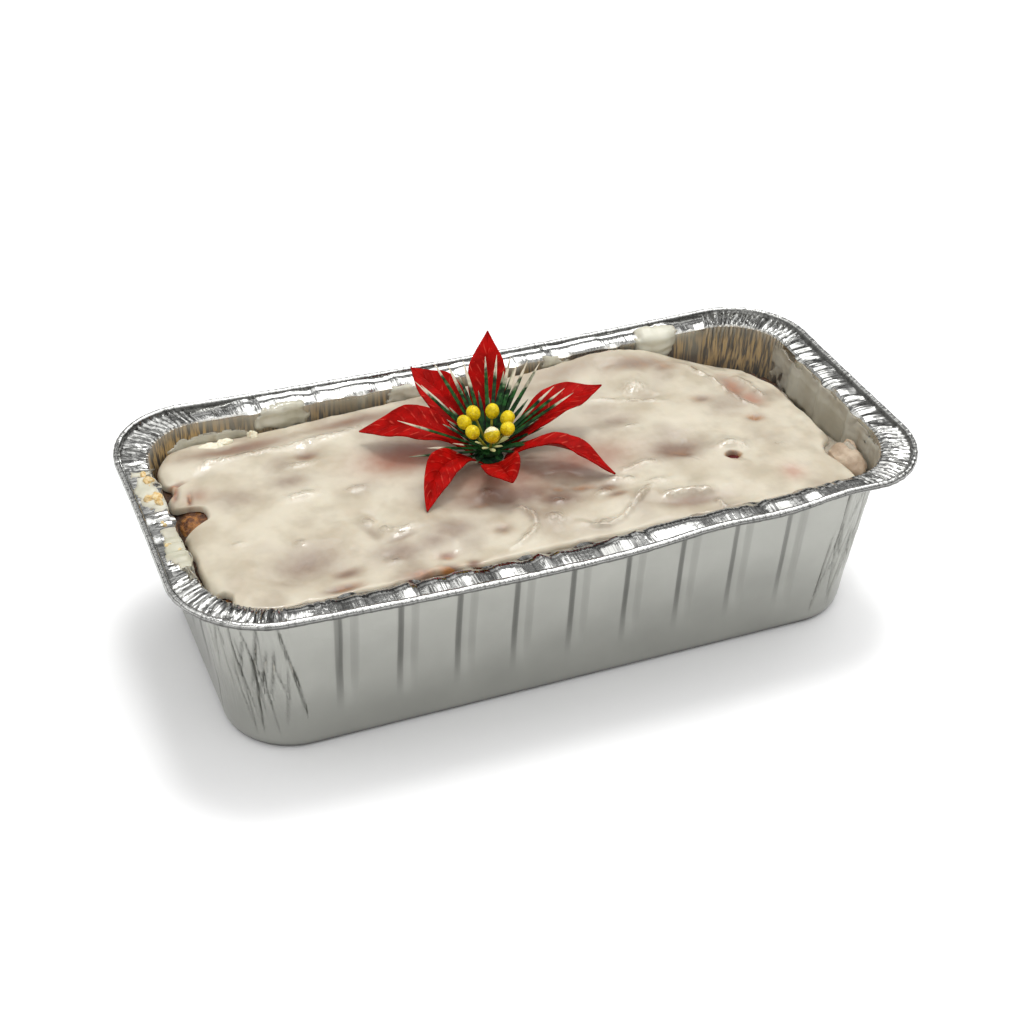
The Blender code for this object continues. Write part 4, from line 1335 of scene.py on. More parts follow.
    # glossy drops: place, reach each way, rise and wetness
    drops: tuple[tuple[float, float, float, float, float, float], ...] = (
        (-63.5, 1.6, 4.6, 1.7, 0.6, 1), (-58.5, 16.5, 5, 1.5, 0.5, 1),
        (-68.9, -18.1, 1.6, 1.1, 0.35, 0.8), (-84, -13, 2, 1.2, 0.3, 0.7),
        (-48.3, -33.6, 2.2, 1, 0.35, 0.7), (-2.7, -31.3, 2.4, 2, 0.45, 1), (10.6, -36.6, 3, 1.2, 0.45, 1),
        (30.4, -24.5, 3.4, 1.4, 0.45, 1), (37.4, -42.4, 2.4, 1.1, 0.4, 0.9),
        (-47.6, -0.2, 2.4, 1.4, 0.5, 1), (-49.3, -15.3, 1.6, 1.9, 0.6, 0.9),
        (-15.8, -15.6, 2.2, 1.5, 0.65, 1), (1.8, -24.3, 1.6, 1.2, 0.45, 1), (20, -20, 1.9, 1.4, 0.6, 1),
        (23.5, -21.5, 1.7, 1.2, 0.5, 1), (14.2, -24.6, 2.2, 1.6, 0.45, 1),
        (35.2, 2.9, 2.6, 1.2, 0.35, 0.8), (45.2, 20.4, 4.4, 3.2, 1.2, 1), (57.8, -15.2, 3.6, 1.5, 0.8, 1),
        (61.6, -16.8, 1.5, 1.5, 0.45, 1))
    folds: tuple[Fold, ...] = (
        Fold(((-88, 22), (-82.7, 25.3), (-72.5, 26.8), (-58.5, 26.6), (-43.5, 27.2), (-30.8, 29.2)),
             1.5, 0.5),
        Fold(((-12.5, -23), (-9.6, -24.2), (-7.9, -27.5), (-8.5, -32.4), (-10.9, -35.4), (-15.4, -37.7),
              (-19.5, -38.8)), 0.9, 0.85),
        Fold(((1.5, -33.6), (6.2, -37.3), (9.5, -38.4), (13.8, -37), (17.1, -34.9), (21.4, -31.2),
              (27.3, -26.5), (32, -24.6)), 0.95, 0.85),
        Fold(((22.5, -17.5), (26, -17.2), (31.4, -15.9), (36.5, -16.6)), 1.1, 0.85),
        Fold(((28, -31.4), (33, -31.4), (38.8, -32.4), (45, -33.8)), 1.15, 0.95),
        Fold(((42.6, -36.2), (43.3, -40), (44.6, -44.2)), 0.65, 0.6),
        Fold(((28, 20.2), (33.3, 18.6), (38.6, 16.1), (45.8, 14), (53, 11.6)), 0.6, 0.4),
        Fold(((64, 33), (67.6, 28), (70.2, 22), (71.4, 16.5), (71.9, 10), (73.6, 4.4), (77, 0.4)),
             1.1, 0.8),
        Fold(((79.5, 22), (80.5, 14), (81.5, 6)), 1.2, 0.5),
        Fold(((-47, -17.5), (-46.6, -21), (-43, -22.6), (-38, -21.6)), 1, 0.45))

    def __post_init__(self) -> None:
        """Add the drops to the marks."""
        self.marks += tuple(Mark(*drop, wet=wet) for *drop, wet in self.drops)

    def setback(self, u: float, v: float, edge: Vector) -> float:
        """How far the icing's edge stands back from the cake's at a point of the outline."""
        across = {Side.FRONT: -v, Side.BACK: v, Side.LEFT: -u, Side.RIGHT: u}
        weight = {side: clamp((value - 0.72) / 0.28) ** 2 for side, value in across.items()}
        total = sum(weight.values())
        found = sum(weight[side] * amount for side, amount in self.setbacks) / total
        for side, place, reach, extra in self.bays:
            along = edge.x if side.long else edge.y
            found += weight[side] * extra * math.exp(-((along - place) / reach) ** 4)
        ragged = 0.55 * rough(edge.x, edge.y, 3, 5.0) + 0.3 * rough(edge.x, edge.y, 9, 1.9)
        return max(0.3, found + ragged)

    def plan(self, u: float, v: float) -> tuple[float, float, float]:
        """Plan of a point of the unit square and its distance from the icing's edge."""
        ring = max(abs(u), abs(v))
        if ring == 0:
            return 0.0, 0.0, 20.0
        edge, normal = rounded_rectangle(u / ring, v / ring, *LOAF.outline(LOAF.level))
        edge = edge - normal * self.setback(u / ring, v / ring, edge)
        spread = 1 - (1 - ring) ** self.crowd
        return edge.x * spread, edge.y * spread, (1 - spread) * abs(edge.dot(normal))

    def top_height(self, x: float, y: float, distance: float) -> float:
        """Height of the icing's top."""
        share = clamp(distance / self.lip)
        height = LOAF.crust_height(x, y) + self.gap + self.thickness * math.sqrt(share * (2 - share))
        detail = sum(rise * rough(x, y, seed, size) for rise, seed, size in self.waves)
        detail += sum(mark.rise * mark.weight(x, y) for mark in self.marks if mark.rise)
        detail += sum(fold.height(x, y) for fold in self.folds) * (0.9 + 1.0 * rough(x, y, 5, 2.6))
        return height + detail * ease(0, 3.0, distance)

    def show_through_and_shade(self, x: float, y: float) -> tuple[float, float, float]:
        """How far thin icing, crumb and fruit show at a point of the plan, and how much painted shade and red
        bounce light lie there.
        """
        thin_and_shade = 0.44 * ease(0.0, 0.6, rough(x, y, 2, 13.0)) + 0.07 * ease(0.1, 0.7, rough(x, y, 7, 6.0))
        crumb = fruit_and_red_bounce = 0.0
        for mark in self.marks:
            weight = mark.weight(x, y)
            if weight > 0.01:
                thin_and_shade = max(thin_and_shade, self.show * mark.thin_and_shade * weight)
                crumb = max(crumb, mark.crumb * weight)
                fruit_and_red_bounce = max(fruit_and_red_bounce, mark.fruit_and_red_bounce * weight)
        return thin_and_shade, crumb, fruit_and_red_bounce

    def wet(self, x: float, y: float) -> float:
        """How wet the icing is at a point of the plan: on its glossy marks and along its folds."""
        marks = max(mark.wet * mark.weight(x, y) for mark in self.marks if mark.wet)
        folds = max(abs(fold.height(x, y)) / fold.rise for fold in self.folds)
        return max(marks, 0.9 * clamp(folds))

    def build(self, bench: Bench) -> None:
        """Make the top and the underside and bridge them along the edge."""
        mesh = bmesh.new()
        show_through_and_shade = mesh.verts.layers.float_color.new("show_through_and_shade")
        wet = mesh.verts.layers.float.new("wet")

        def under_point(u: float, v: float) -> Vector:
            """Point of the underside for a point of the unit square."""
            x, y, _ = self.plan(u, v)
            return TIN.bent(x, y, LOAF.crust_height(x, y) + self.gap, False)

        def top_point(u: float, v: float) -> Vector:
            """Point of the top for a point of the unit square."""
            x, y, distance = self.plan(u, v)
            return TIN.bent(x, y, self.top_height(x, y, distance) + 0.1, False)

        lattice(mesh, self.cells, under_point)
        bmesh.ops.reverse_faces(mesh, faces=mesh.faces)
        under = [edge for edge in mesh.edges if edge.is_boundary]
        lattice(mesh, self.cells, top_point)
        known = set(under)
        over = [edge for edge in mesh.edges if edge.is_boundary and edge not in known]
        bmesh.ops.bridge_loops(mesh, edges=under + over)
        for vert in mesh.verts:
            vert[show_through_and_shade] = (*self.show_through_and_shade(vert.co.x, vert.co.y), 1.0)
            vert[wet] = self.wet(vert.co.x, vert.co.y)
        bmesh.ops.recalc_face_normals(mesh, faces=mesh.faces)
        bench.piece("poured_icing", mesh, ICING, Slot.ICING, ["icing"])


# --- smears, crumbs and fruit ---
@dataclass(frozen=True)
class Smear:
    """A thin smear of icing on the foil: where it lies round the rim and over the section."""

    name: str
    side: Side
    place: tuple[float, float]  # along the side, mm; past its end the smear runs round the corner
    run: tuple[float, float]  # mm: below 0 down the inside wall, above 0 out over the flange
    thick: float
    seed: float
    raggedness: float = 0.5
    square: float = 2.4  # outline: 2 round, more for squarer corners
    finish: Finish = PAINTED_LIGHT_ICING
    cell: tuple[float, float] = (0.6, 0.5)
    dip: float = 0.12  # how far the lattice sinks under the foil where there is no smear
    skin: float = 0.10

    def station(self, place: float) -> Station:
        """The station at a distance along the side or round its corner."""
        probe = Station(self.side, False, 0.0)
        straight = probe.reach + (3.0 if abs(place) > probe.reach else 0.0)
        if abs(place) <= straight:
            return Station(self.side, False, clamp(place / straight, -1, 1))
        arc = TIN.wall_corner * math.pi / 2
        over = (abs(place) - straight) / arc
        if place > 0:
            return Station(self.side, True, min(over, 1.0))
        return Station(Side((self.side.value - 1) % 4), True, max(1 - over, 0.0))

    def build(self, bench: Bench, tin: FoilTin) -> None:
        """Lay a lattice on the foil, raise it where the smear is and cut the rest away."""
        mesh = bmesh.new()
        show_through_and_shade = mesh.verts.layers.float_color.new("show_through_and_shade")
        cells = tuple(max(8, round((end - start) / cell))
                      for (start, end), cell in zip((self.place, self.run), self.cell))
        shares: list[tuple[float, float]] = []

        def foil_point(u: float, v: float) -> Vector:
            """Point of the foil for a point of the lattice, which is noted down."""
            shares.append((u, v))
            station = self.station(blend(*self.place, (u + 1) / 2))
            run = blend(*self.run, (v + 1) / 2)
            if run < 0:
                return tin.point(station, Zone.INSIDE_WALL, TIN.flange_level - 0.4 + run)
            return tin.point(station, Zone.FLANGE_TOP, min(0.86, run / TIN.flange_width))

        grid = lattice(mesh, cells, foil_point)
        mesh.normal_update()
        _, outward, _ = self.station(sum(self.place) / 2).plan(TIN.flange_size(0))
        inward = Vector((0, 0, 1)) - outward.to_3d()
        doomed = []
        for vert, (u, v) in zip(grid, shares):
            edge = 1 - (abs(u) ** self.square + abs(v) ** self.square) ** (1 / self.square)
            ragged = self.raggedness * (1.5 * rough(vert.co.x, vert.co.y, vert.co.z + self.seed, 4.2)
                                        + 0.8 * rough(vert.co.x, vert.co.y, vert.co.z - self.seed, 1.6))
            mask = edge * 1.6 - 0.10 + ragged
            swell = 0.85 + 0.6 * rough(vert.co.x, vert.co.z * 2, self.seed, 3.6)
            body = self.thick * (math.sqrt(clamp(mask * 1.5)) * swell)
            normal = vert.normal if vert.normal.dot(inward) > 0 else -vert.normal
            vert[show_through_and_shade] = (clamp(0.30 - mask * 0.5), 0.0, 0.0, 1.0)
            vert.co += normal * (body if mask > 0 else -self.dip)
            if mask < -0.16:
                doomed.append(vert)
        bmesh.ops.delete(mesh, geom=doomed, context="VERTS")
        loose = [vert for vert in mesh.verts if not vert.link_faces]
        bmesh.ops.delete(mesh, geom=loose, context="VERTS")
        if next(iter(mesh.faces)).normal.dot(inward) < 0:
            bmesh.ops.reverse_faces(mesh, faces=mesh.faces)
        bmesh.ops.solidify(mesh, geom=mesh.faces[:], thickness=self.skin)
        bench.piece(self.name, mesh, self.finish, Slot.ICING)


SMEARS = (
    Smear("smear_left_flange", Side.LEFT, (-24, -3), (-1.0, 6.8), 0.30, 3.0, 0.5),
    Smear("smear_left_lip", Side.LEFT, (4, 24), (-3.0, 5.6), 0.34, 8.0, 0.5),
    Smear("smear_left_back_wall", Side.BACK, (62, 90), (-11.0, -4.0), 0.55, 14.0, 0.35),
    Smear("smear_back_left_rim", Side.BACK, (48, 64), (-7.5, 2.4), 0.8, 21.0, 0.35),
    Smear("smear_back_bridge", Side.BACK, (10, 25), (-6.0, 0.8), 0.8, 27.0, 0.4),
    Smear("smear_back_middle", Side.BACK, (-34, -24), (-6.0, 0.5), 0.8, 31.0, 0.4),
    Smear("smear_back_right", Side.BACK, (-69, -56), (-8.0, 6.4), 1.2, 37.0, 0.3, 3.0),
    Smear("film_right_wall", Side.RIGHT, (-30, 30), (-15.0, -0.2), 0.40, 43.0, 0.5, 5.0, ICING),
    Smear("film_right_corner", Side.RIGHT, (-42, -12), (-14.0, -1.2), 0.45, 51.0, 0.5, 5.0, ICING),
)


@dataclass(frozen=True)
class Scatter:
    """Loose crumbs of one kind: where they lie, how big they are and how many."""

    name: str
    finish: Finish
    count: int
    size: tuple[float, float]
    x: tuple[float, float]
    y: tuple[float, float]
    lift: float
    seed: int

    def build(self, bench: Bench, ground: Callable[[float, float], float]) -> None:
        """Drop the crumbs on the ground that is given, each a small broken lump."""
        draw = random.Random(self.seed)
        mesh = bmesh.new()
        for _ in range(self.count):
            x, y = draw.uniform(*self.x), draw.uniform(*self.y)
            size = draw.uniform(*self.size)
            before = len(mesh.verts)
            bmesh.ops.create_icosphere(mesh, subdivisions=2, radius=1)
            mesh.verts.ensure_lookup_table()
            squash = Vector((draw.uniform(0.7, 1.2), draw.uniform(0.7, 1.2), draw.uniform(0.5, 0.9))) * size
            turn = draw.uniform(0, math.tau)
            centre = TIN.bent(x, y, ground(x, y) + size * self.lift, False)
            for vert in mesh.verts[before:]:
                lump = 1 + 0.45 * rough(vert.co.x + x, vert.co.y + y, vert.co.z, 0.8)
                shape = vert.co * squash * lump
                plan = turned_plan(shape.x, shape.y, turn)
                vert.co = centre + Vector((plan.x, plan.y, shape.z))
        bench.piece(self.name, mesh, self.finish, Slot.CRUST, sharp=35)


@dataclass(frozen=True)
class Lump:
    """One larger broken lump or a berry: its middle, its half sizes and how far it is broken."""

    name: str
    finish: Finish
    centre: tuple[float, float, float]
    size: tuple[float, float, float]
    broken: float
    facet: float
    seed: float
    slot: Slot = Slot.CRUST

    def build(self, bench: Bench, sharp: float) -> None:
        """Break an icosphere into lumps and flat faces."""
        mesh = bmesh.new()
        bmesh.ops.create_icosphere(mesh, subdivisions=4, radius=1)
        for vert in mesh.verts:
            way = vert.co.copy()
            cell = noise.cell_vector(way * self.facet + Vector((self.seed, 0, 0)))
            bumps = noise.noise(way * 1.7 + Vector((0, self.seed, 0))) * 0.7 + noise.noise(way * 4.1) * 0.3
            reach = 1 + self.broken * (bumps + 0.25 * (cell.x - 0.5))
            vert.co = Vector(self.centre) + way * Vector(self.size) * reach
        bmesh.ops.smooth_vert(mesh, verts=mesh.verts, factor=0.35,
                              use_axis_x=True, use_axis_y=True, use_axis_z=True)
        bench.piece(self.name, mesh, self.finish, self.slot, sharp=sharp)


def build_fruit_and_crumbs(bench: Bench) -> None:
    """The broken lumps at the right end, the berry in its hole, lumps of icing and the loose crumbs."""
    Lump("cake_chunk", CHUNK, (90.4, -26.5, 43.2), (5.2, 7.4, 5.2), 0.26, 1.6, 3.0).build(bench, 24)
    Lump("cake_chunk_small", CHUNK, (94.6, -21.0, 43.9), (1.8, 2.4, 3.2), 0.35, 2.6, 9.0).build(bench, 24)
    Lump("window_crumb", CRUST, (-91.8, 4.0, 44.4), (3.6, 5.6, 3.0), 0.10, 2.0, 4.0).build(bench, 180)
    berry = (*HOLE, LOAF.crust_height(*HOLE) - 0.6)
    Lump("sunk_berry", FRUIT, berry, (3.4, 2.6, 1.5), 0.12, 2.0, 2.0).build(bench, 180)
    icing_lumps = ((-78.5, 37.0, (3.6, 1.7, 1.3)), (-74.3, 38.2, (2.6, 1.5, 1.6)),
                   (-66.0, 38.8, (1.7, 1.8, 2.1)))
    for number, (x, y, size) in enumerate(icing_lumps, start=1):
        centre = (x, y, LOAF.crust_height(x, y) + 1.7)
        lump = Lump(f"icing_lump_{number}", PAINTED_LIGHT_ICING, centre, size, 0.45, 2.0, 3.0 * number, Slot.ICING)
        lump.build(bench, 180)

    def crust(x: float, y: float) -> float:
        """Ground of the crumbs on the cake."""
        return LOAF.crust_height(x, y) + LOAF.chunk_height(x, y) - 0.3

    def flange(x: float, y: float) -> float:
        """Ground of the crumbs on the flange."""
        return TIN.flange_level + TIN.rim_bend(x, y).z

    for scatter in (
            Scatter("gold_crumbs", GOLD_CRUMB, 9, (0.4, 1.5), (-103.5, -99.0), (7.0, 23.0), 0.1, 5),
            Scatter("flange_crumbs", GOLD_CRUMB, 5, (0.25, 0.6), (-104.0, -100.0), (-14.0, 0.0), 0.1, 15)):
        scatter.build(bench, flange)
    for scatter in (
            Scatter("right_crumbs", DARK_CRUMB, 60, (0.5, 1.4), (83.0, 90.5), (22.0, 32.5), 0.5, 6),
            Scatter("back_crumbs", DARK_CRUMB, 50, (0.4, 0.9), (-70.0, 78.0), (40.2, 41.6), 0.4, 7),
            Scatter("left_crumbs", DARK_CRUMB, 10, (0.4, 0.8), (-93.5, -91.5), (-33.0, -28.0), 0.4, 8)):
        scatter.build(bench, crust)


# --- poinsettia ---
@dataclass(frozen=True)
class BractSpec:
    """One bract."""

    node: str
    bearing: float  # of its tip seen from above, degrees
    length: float  # seen from above
    tip_height: float
    arch: float
    width: float
    fold: float  # of each half up from the middle vein, degrees
    roll: float  # about its own length, degrees
    bow: float  # sideways


@dataclass
class Poinsettia:
    """The plastic flower: bracts round a calyx, a spray of needles and a ring of berries."""

    x: float = -9.0
    y: float = 0.5
    gap: float = 0.35
    calyx_radius: float = 4.0
    calyx_height: float = 1.2
    bract_root: float = 4.6
    bract_root_width: float = 2.2
    bract_tip_width: float = 0.35
    bract_thickness: float = 0.36
    core_radius: float = 3.6
    core_height: float = 1.8
    needle_width: float = 1.15
    blade_half_thickness: float = 0.22
    icing_rise: float = 0.70  # of the icing over the crust where the flower stands
    icing_depth: float = 1.1
    berry_count: int = 7
    first_berry_bearing: float = 55.0
    berry_radius: float = 1.95
    berry_stretch: float = 1.14
    large_berry: int = 4
    cap_direction: tuple[float, float, float] = (0.0, 0.55, 0.85)  # of the large berry's cream cap
    berry_ring: float = 6.2
    berry_rise: float = 6.8
    berry_lean: float = -0.8
    stem_ring: float = 1.8
    stem_radius: float = 0.42
    bracts: tuple[BractSpec, ...] = (
        BractSpec("bract_back", 70, 30.5, 22.0, 1.0, 10.8, 18, 0, 0.3),
        BractSpec("bract_back_left", 109, 34.5, 12.0, 2.5, 11.5, 22, -22, -1.2),
        BractSpec("bract_left", 147, 37.0, 2.2, 6.0, 12.2, 14, -16, 0),
        BractSpec("bract_front_left", 217, 31.5, -0.4, 5.4, 8.6, 26, -26, -3.6),
        BractSpec("bract_front", 262, 25.5, 8.0, 2.0, 10.6, 34, 20, 0),
        BractSpec("bract_front_right", 326, 35.5, -0.4, 6.4, 9.5, 26, -12, 0),
        BractSpec("bract_right", 11, 37.5, 11.0, 3.4, 11.5, 20, 6, 0.8))
    # needles of the spray: rise in degrees, length and height of their root in mm, bearings in degrees
    tiers: tuple[tuple[float, float, float, tuple[float, ...]], ...] = (
        (11, 18.5, 1.1, (172, 345)),
        (33, 19.5, 0.9, (208,)),
        (20, 26.0, 1.0, (160,)),
        (27, 28.0, 0.7, (4, 12, 20, 123)),
        (37, 28.5, 0.2, (32, 42, 48, 54, 64, 72, 88, 100, 111, 134)))
    # green needles between them, most of them shorter: bearing, rise, length
    tuft: tuple[tuple[float, float, float], ...] = (
        (193, 17, 27.5), (50, 36, 25.5), (57, 37, 24.5), (64, 36, 26.0), (95, 36, 24.0), (26, 33, 19.0),
        (8, 22, 17.0), (38, 30, 21.0), (16, 24, 23.0), (358, 30, 15.0), (45, 34, 22.0), (51, 33, 22.0),
        (59, 34, 20.0), (0, 16, 17.0), (15, 31, 18.0), (33, 25, 18.0), (69, 31, 17.0), (80, 33, 19.0),
        (93, 32, 20.0), (105, 30, 18.0), (118, 30, 17.0), (128, 24, 15.0), (142, 26, 15.0), (193, 3, 21.0),
        (200, 22, 13.0), (226, 14, 10.0), (334, 18, 12.0), (322, 12, 9.0), (275, 10, 8.0))
    # short leaflets at the foot of the berries: bearing, rise, length
    leaflets: tuple[tuple[float, float, float], ...] = (
        (196, 40, 6.5), (232, 32, 7.5), (262, 26, 6.5), (286, 34, 7.0), (312, 42, 8.0), (341, 38, 8.0))

    @property
    def icing_level(self) -> float:
        """Height of the icing where the flower stands."""
        return LOAF.crust_height(self.x, self.y) + self.icing_rise + self.icing_depth

    @property
    def spray_level(self) -> float:
        """Height of the foot of the spray."""
        return self.icing_level + self.calyx_height + 2 * self.gap

    def _finish(self, bench: Bench, name: str, mesh: bmesh.types.BMesh, height: float, finish: Finish,
                slot: Slot, replaces: Sequence[str] = (), sharp: float = 180.0) -> bpy.types.Object:
        """Move a shape drawn about the stem line to its place and make it a piece."""
        bmesh.ops.translate(mesh, verts=mesh.verts, vec=(self.x, self.y, height))
        return bench.piece(name, mesh, finish, slot, replaces, sharp)

    def turned(self, profile: Sequence[tuple[float, float]], sides: int) -> bmesh.types.BMesh:
        """Closed shape turned about Z, from a profile of (radius, height) from axis to axis."""
        mesh = bmesh.new()
        verts = [mesh.verts.new((radius, 0, height)) for radius, height in profile]
        edges = [mesh.edges.new(pair) for pair in zip(verts, verts[1:])]
        bmesh.ops.spin(mesh, geom=verts + edges, cent=(0, 0, 0), axis=(0, 0, 1), angle=math.tau,
                       steps=sides, use_merge=True)
        bmesh.ops.remove_doubles(mesh, verts=mesh.verts, dist=0.01)
        bmesh.ops.recalc_face_normals(mesh, faces=mesh.faces)
        return mesh

    def bract_point(self, across: float, along: float, spec: BractSpec) -> Vector:
        """Point of a bract: across -1..1 over its width, along 0..1 to its tip."""
        distance = self.bract_root + (spec.length - self.bract_root) * along
        height = spec.tip_height * along ** 1.2 + spec.arch * math.sin(math.pi * along ** 0.85)
        shape = math.sin(math.pi * along ** 1.15) ** 1.1 if 0 < along < 1 else 0.0
        ends = blend(self.bract_root_width, self.bract_tip_width, along)
        half = ends / 2 + (spec.width - ends) / 2 * shape
        side = across * half
        tilt = math.radians(spec.roll) * math.sin(math.pi * clamp(along * 0.9))
        lift = abs(side) * math.tan(math.radians(spec.fold)) * shape
        ripple = 0.25 * shape * math.sin(along * 11) * across
        edge_wave = 0.35 * shape * abs(across) ** 3 * math.sin(along * 19 + spec.bearing + across)
        vein = -0.16 * math.exp(-(side / 0.45) ** 2) * shape
        phase = along * BRACT.veins - abs(across) * BRACT.vein_slant / 2
        rib = math.exp(-(((phase + 0.5) % 1 - 0.5) / 0.16) ** 2)
        ribs = 0.10 * shape * rib * ease(0.03, 0.2, abs(across))
        rise = height + side * math.sin(tilt) + lift * math.cos(tilt) + ripple + edge_wave + vein + ribs
        shift = spec.bow * math.sin(math.pi * along)
        out = Vector((distance, shift + side * math.cos(tilt) - lift * math.sin(tilt)))
        plan = turned_plan(out.x, out.y, math.radians(spec.bearing))
        return Vector((plan.x, plan.y, rise))

    def build_bract(self, bench: Bench, spec: BractSpec) -> None:
        """One veined, pointed bract."""
        mesh = bmesh.new()
        uv = mesh.loops.layers.uv.new("UVMap")
        bmesh.ops.create_grid(mesh, x_segments=72, y_segments=20, size=1)
        for face in mesh.faces:
            for loop in face.loops:
                loop[uv].uv = ((loop.vert.co.y + 1) / 2, (loop.vert.co.x + 1) / 2)
        for vert in mesh.verts:
            vert.co = self.bract_point(vert.co.y, (vert.co.x + 1) / 2, spec)
        height = self.icing_level + self.gap + self.calyx_height / 2
        item = self._finish(bench, "leaf_" + spec.node, mesh, height, BRACT, Slot.BRACT, [spec.node])
        wall = item.modifiers.new("thickness", "SOLIDIFY")
        wall.thickness = self.bract_thickness * MM
        wall.offset = 0

    def add_blade(self, mesh: bmesh.types.BMesh, bearing: float, rise: float, root: float, length: float,
                  width: float, droop: float, start: float, pale: float = 1.0) -> None:
        """Add one slim pointed blade that grows from the core.

        Args:
            mesh: the bmesh to add to, with an along layer.
            bearing: direction seen from above, degrees.
            rise: angle above level, degrees.
            root: height of the root.
            length: length from the core's middle line.
            width: greatest width.
            droop: how far the tip sinks.
            start: distance of the root from the core's middle line.
            pale: how far its white part reaches, 1 for the usual share.
        """
        along = mesh.verts.layers.float["along"]
        tilt, turn = math.radians(rise), math.radians(bearing)

        def shape(vert: bmesh.types.BMVert, index: int, share: float) -> None:
            """Place one point of the blade and note how far along it lies."""
            taper = min(1.0, 0.6 + 1.6 * share) * math.sqrt(1 - ease(0.70, 1.01, share)) + 0.05
            across = math.sin(math.tau * index / 6) * width / 2 * taper
            flat = math.cos(math.tau * index / 6) * self.blade_half_thickness * taper
            reach = start + (length - start) * share
            out = reach * math.cos(tilt) - flat * math.sin(tilt)
            up = root + reach * math.sin(tilt) + flat * math.cos(tilt) - droop * share * share
            plan = turned_plan(out, across, turn)
            vert.co = (plan.x, plan.y, up)
            vert[along] = share * pale

        skin(mesh, 6, [step / 8 for step in range(9)], shape)

    def build_needles(self, bench: Bench) -> None:
        """Spray of needles on its core, with finer ones between the main ones."""
        draw = random.Random(4)
        radius, height = self.core_radius, self.core_height
        profile = [(0, 0), (radius * 0.8, 0), (radius, height * 0.5), (radius * 0.85, height), (0, height)]
        mesh = self.turned(profile, 20)
        mesh.verts.layers.float.new("along")
        mesh.verts.layers.int.new("order")
        for rise, length, root, bearings in self.tiers:
            for bearing in bearings:
                size = length * draw.uniform(0.93, 1.05)
                tilt = rise + draw.uniform(-1.5, 1.5)
                pale = self._paleness(bearing, rise)
                self.add_blade(mesh, bearing, tilt, root, size, self.needle_width, 0.4, 0.9, pale)
        bmesh.ops.recalc_face_normals(mesh, faces=mesh.faces)
        self._finish(bench, "needles", mesh, self.spray_level, NEEDLE, Slot.NEEDLE, ["needle_spray"], 40)

    def _paleness(self, bearing: float, rise: float) -> float:
        """How far the white part of a needle reaches: less on the right and on the steep ones."""
        if math.cos(math.radians(bearing)) > 0.85:
            return 0.86
        return 0.90 if rise > 30 else 1.0

    def build_blades(self, bench: Bench, name: str, blades: Sequence[tuple[float, float, float]], root: float,
                     width: float, finish: Finish) -> None:
        """One piece of small blades that grow from the core.

        Args:
            bench: where the piece is finished.
            name: name of the piece.
            blades: bearing, rise and length of each blade.
            root: height of their roots.
            width: their greatest width.
            finish: what they are made of.
        """
        mesh = bmesh.new()
        mesh.verts.layers.float.new("along")
        mesh.verts.layers.int.new("order")
        for bearing, rise, length in blades:
            self.add_blade(mesh, bearing, rise, root, length, width, 0.5, 1.6)
        bmesh.ops.recalc_face_normals(mesh, faces=mesh.faces)
        self._finish(bench, name, mesh, self.spray_level, finish, Slot.NEEDLE, sharp=40)

    def build_calyx(self, bench: Bench) -> None:
        """Flat-footed calyx that stands on the icing."""
        radius, height = self.calyx_radius, self.calyx_height
        profile = [(0, 0), (radius * 0.86, 0), (radius * 0.97, height * 0.15), (radius, height * 0.4),
                   (radius * 0.93, height * 0.75), (radius * 0.8, height), (0, height)]
        mesh = self.turned(profile, 40)
        for vert in mesh.verts:
            ribs = 1 + 0.035 * math.sin(10 * math.atan2(vert.co.y, vert.co.x))
            vert.co.x *= ribs
            vert.co.y *= ribs
        self._finish(bench, "calyx_cup", mesh, self.icing_level + self.gap, CALYX, Slot.NEEDLE, ["calyx"])

    def build_berries(self, bench: Bench) -> None:
        """Ring of glittered berries, each with its stem."""
        foot_level = self.spray_level + self.core_height + self.gap + 2 * self.stem_radius
        for index in range(self.berry_count):
            bearing = math.radians(self.first_berry_bearing + 360 * index / self.berry_count)
            direction = Vector((math.cos(bearing), math.sin(bearing), 0))
            climb = Vector((self.berry_lean, 0, self.berry_rise))
            axis = direction * (self.berry_ring - self.stem_ring) + climb
            turn = Vector((0, 0, 1)).rotation_difference(axis).to_matrix().to_4x4()
            foot = direction * self.stem_ring
            self._build_berry(bench, index, Matrix.Translation(foot) @ turn, axis.length, foot_level)

    def _build_berry(self, bench: Bench, index: int, place: Matrix, reach: float, foot_level: float) -> None:
        """One berry and its stem, turned about the stem's axis."""
        large = index == self.large_berry
        radius = self.berry_radius * (1.12 if large else 1.0)
        tall = radius * (self.berry_stretch * (1.18 if large else 1.0))
        angles = [math.radians(-90 + 180 * step / 16) for step in range(1, 16)]
        arc = [(radius * math.cos(angle), reach + tall * math.sin(angle)) for angle in angles]
        berry = self.turned([(0.0, reach - tall), *arc, (0.0, reach + tall)], 28)
        cap = berry.verts.layers.float.new("cap")
        lean = place.to_3x3().inverted() @ Vector(self.cap_direction).normalized()
        for vert in berry.verts:
            way = (vert.co - Vector((0, 0, reach))).normalized()
            vert[cap] = ease(0.36, 0.46, way.dot(lean)) if large else 0.0
            lump = 1 + 0.03 * rough(vert.co.x + index * 9, vert.co.y, vert.co.z, 1.1)
            vert.co.x *= lump
            vert.co.y *= lump
        bmesh.ops.transform(berry, matrix=place, verts=berry.verts)
        number = index + 1
        self._finish(bench, f"berry_ball_{number}", berry, foot_level, BERRY, Slot.BERRY, [f"berry_{number}"])
        top, thick = reach - tall * 0.8, self.stem_radius
        stem = self.turned([(0, 0), (thick, 0), (thick * 0.8, top * 0.5), (thick * 0.9, top), (0, top)], 10)
        bmesh.ops.transform(stem, matrix=place, verts=stem.verts)
        self._finish(bench, f"berry_stem_{number}", stem, foot_level, STEM, Slot.BERRY, sharp=50)

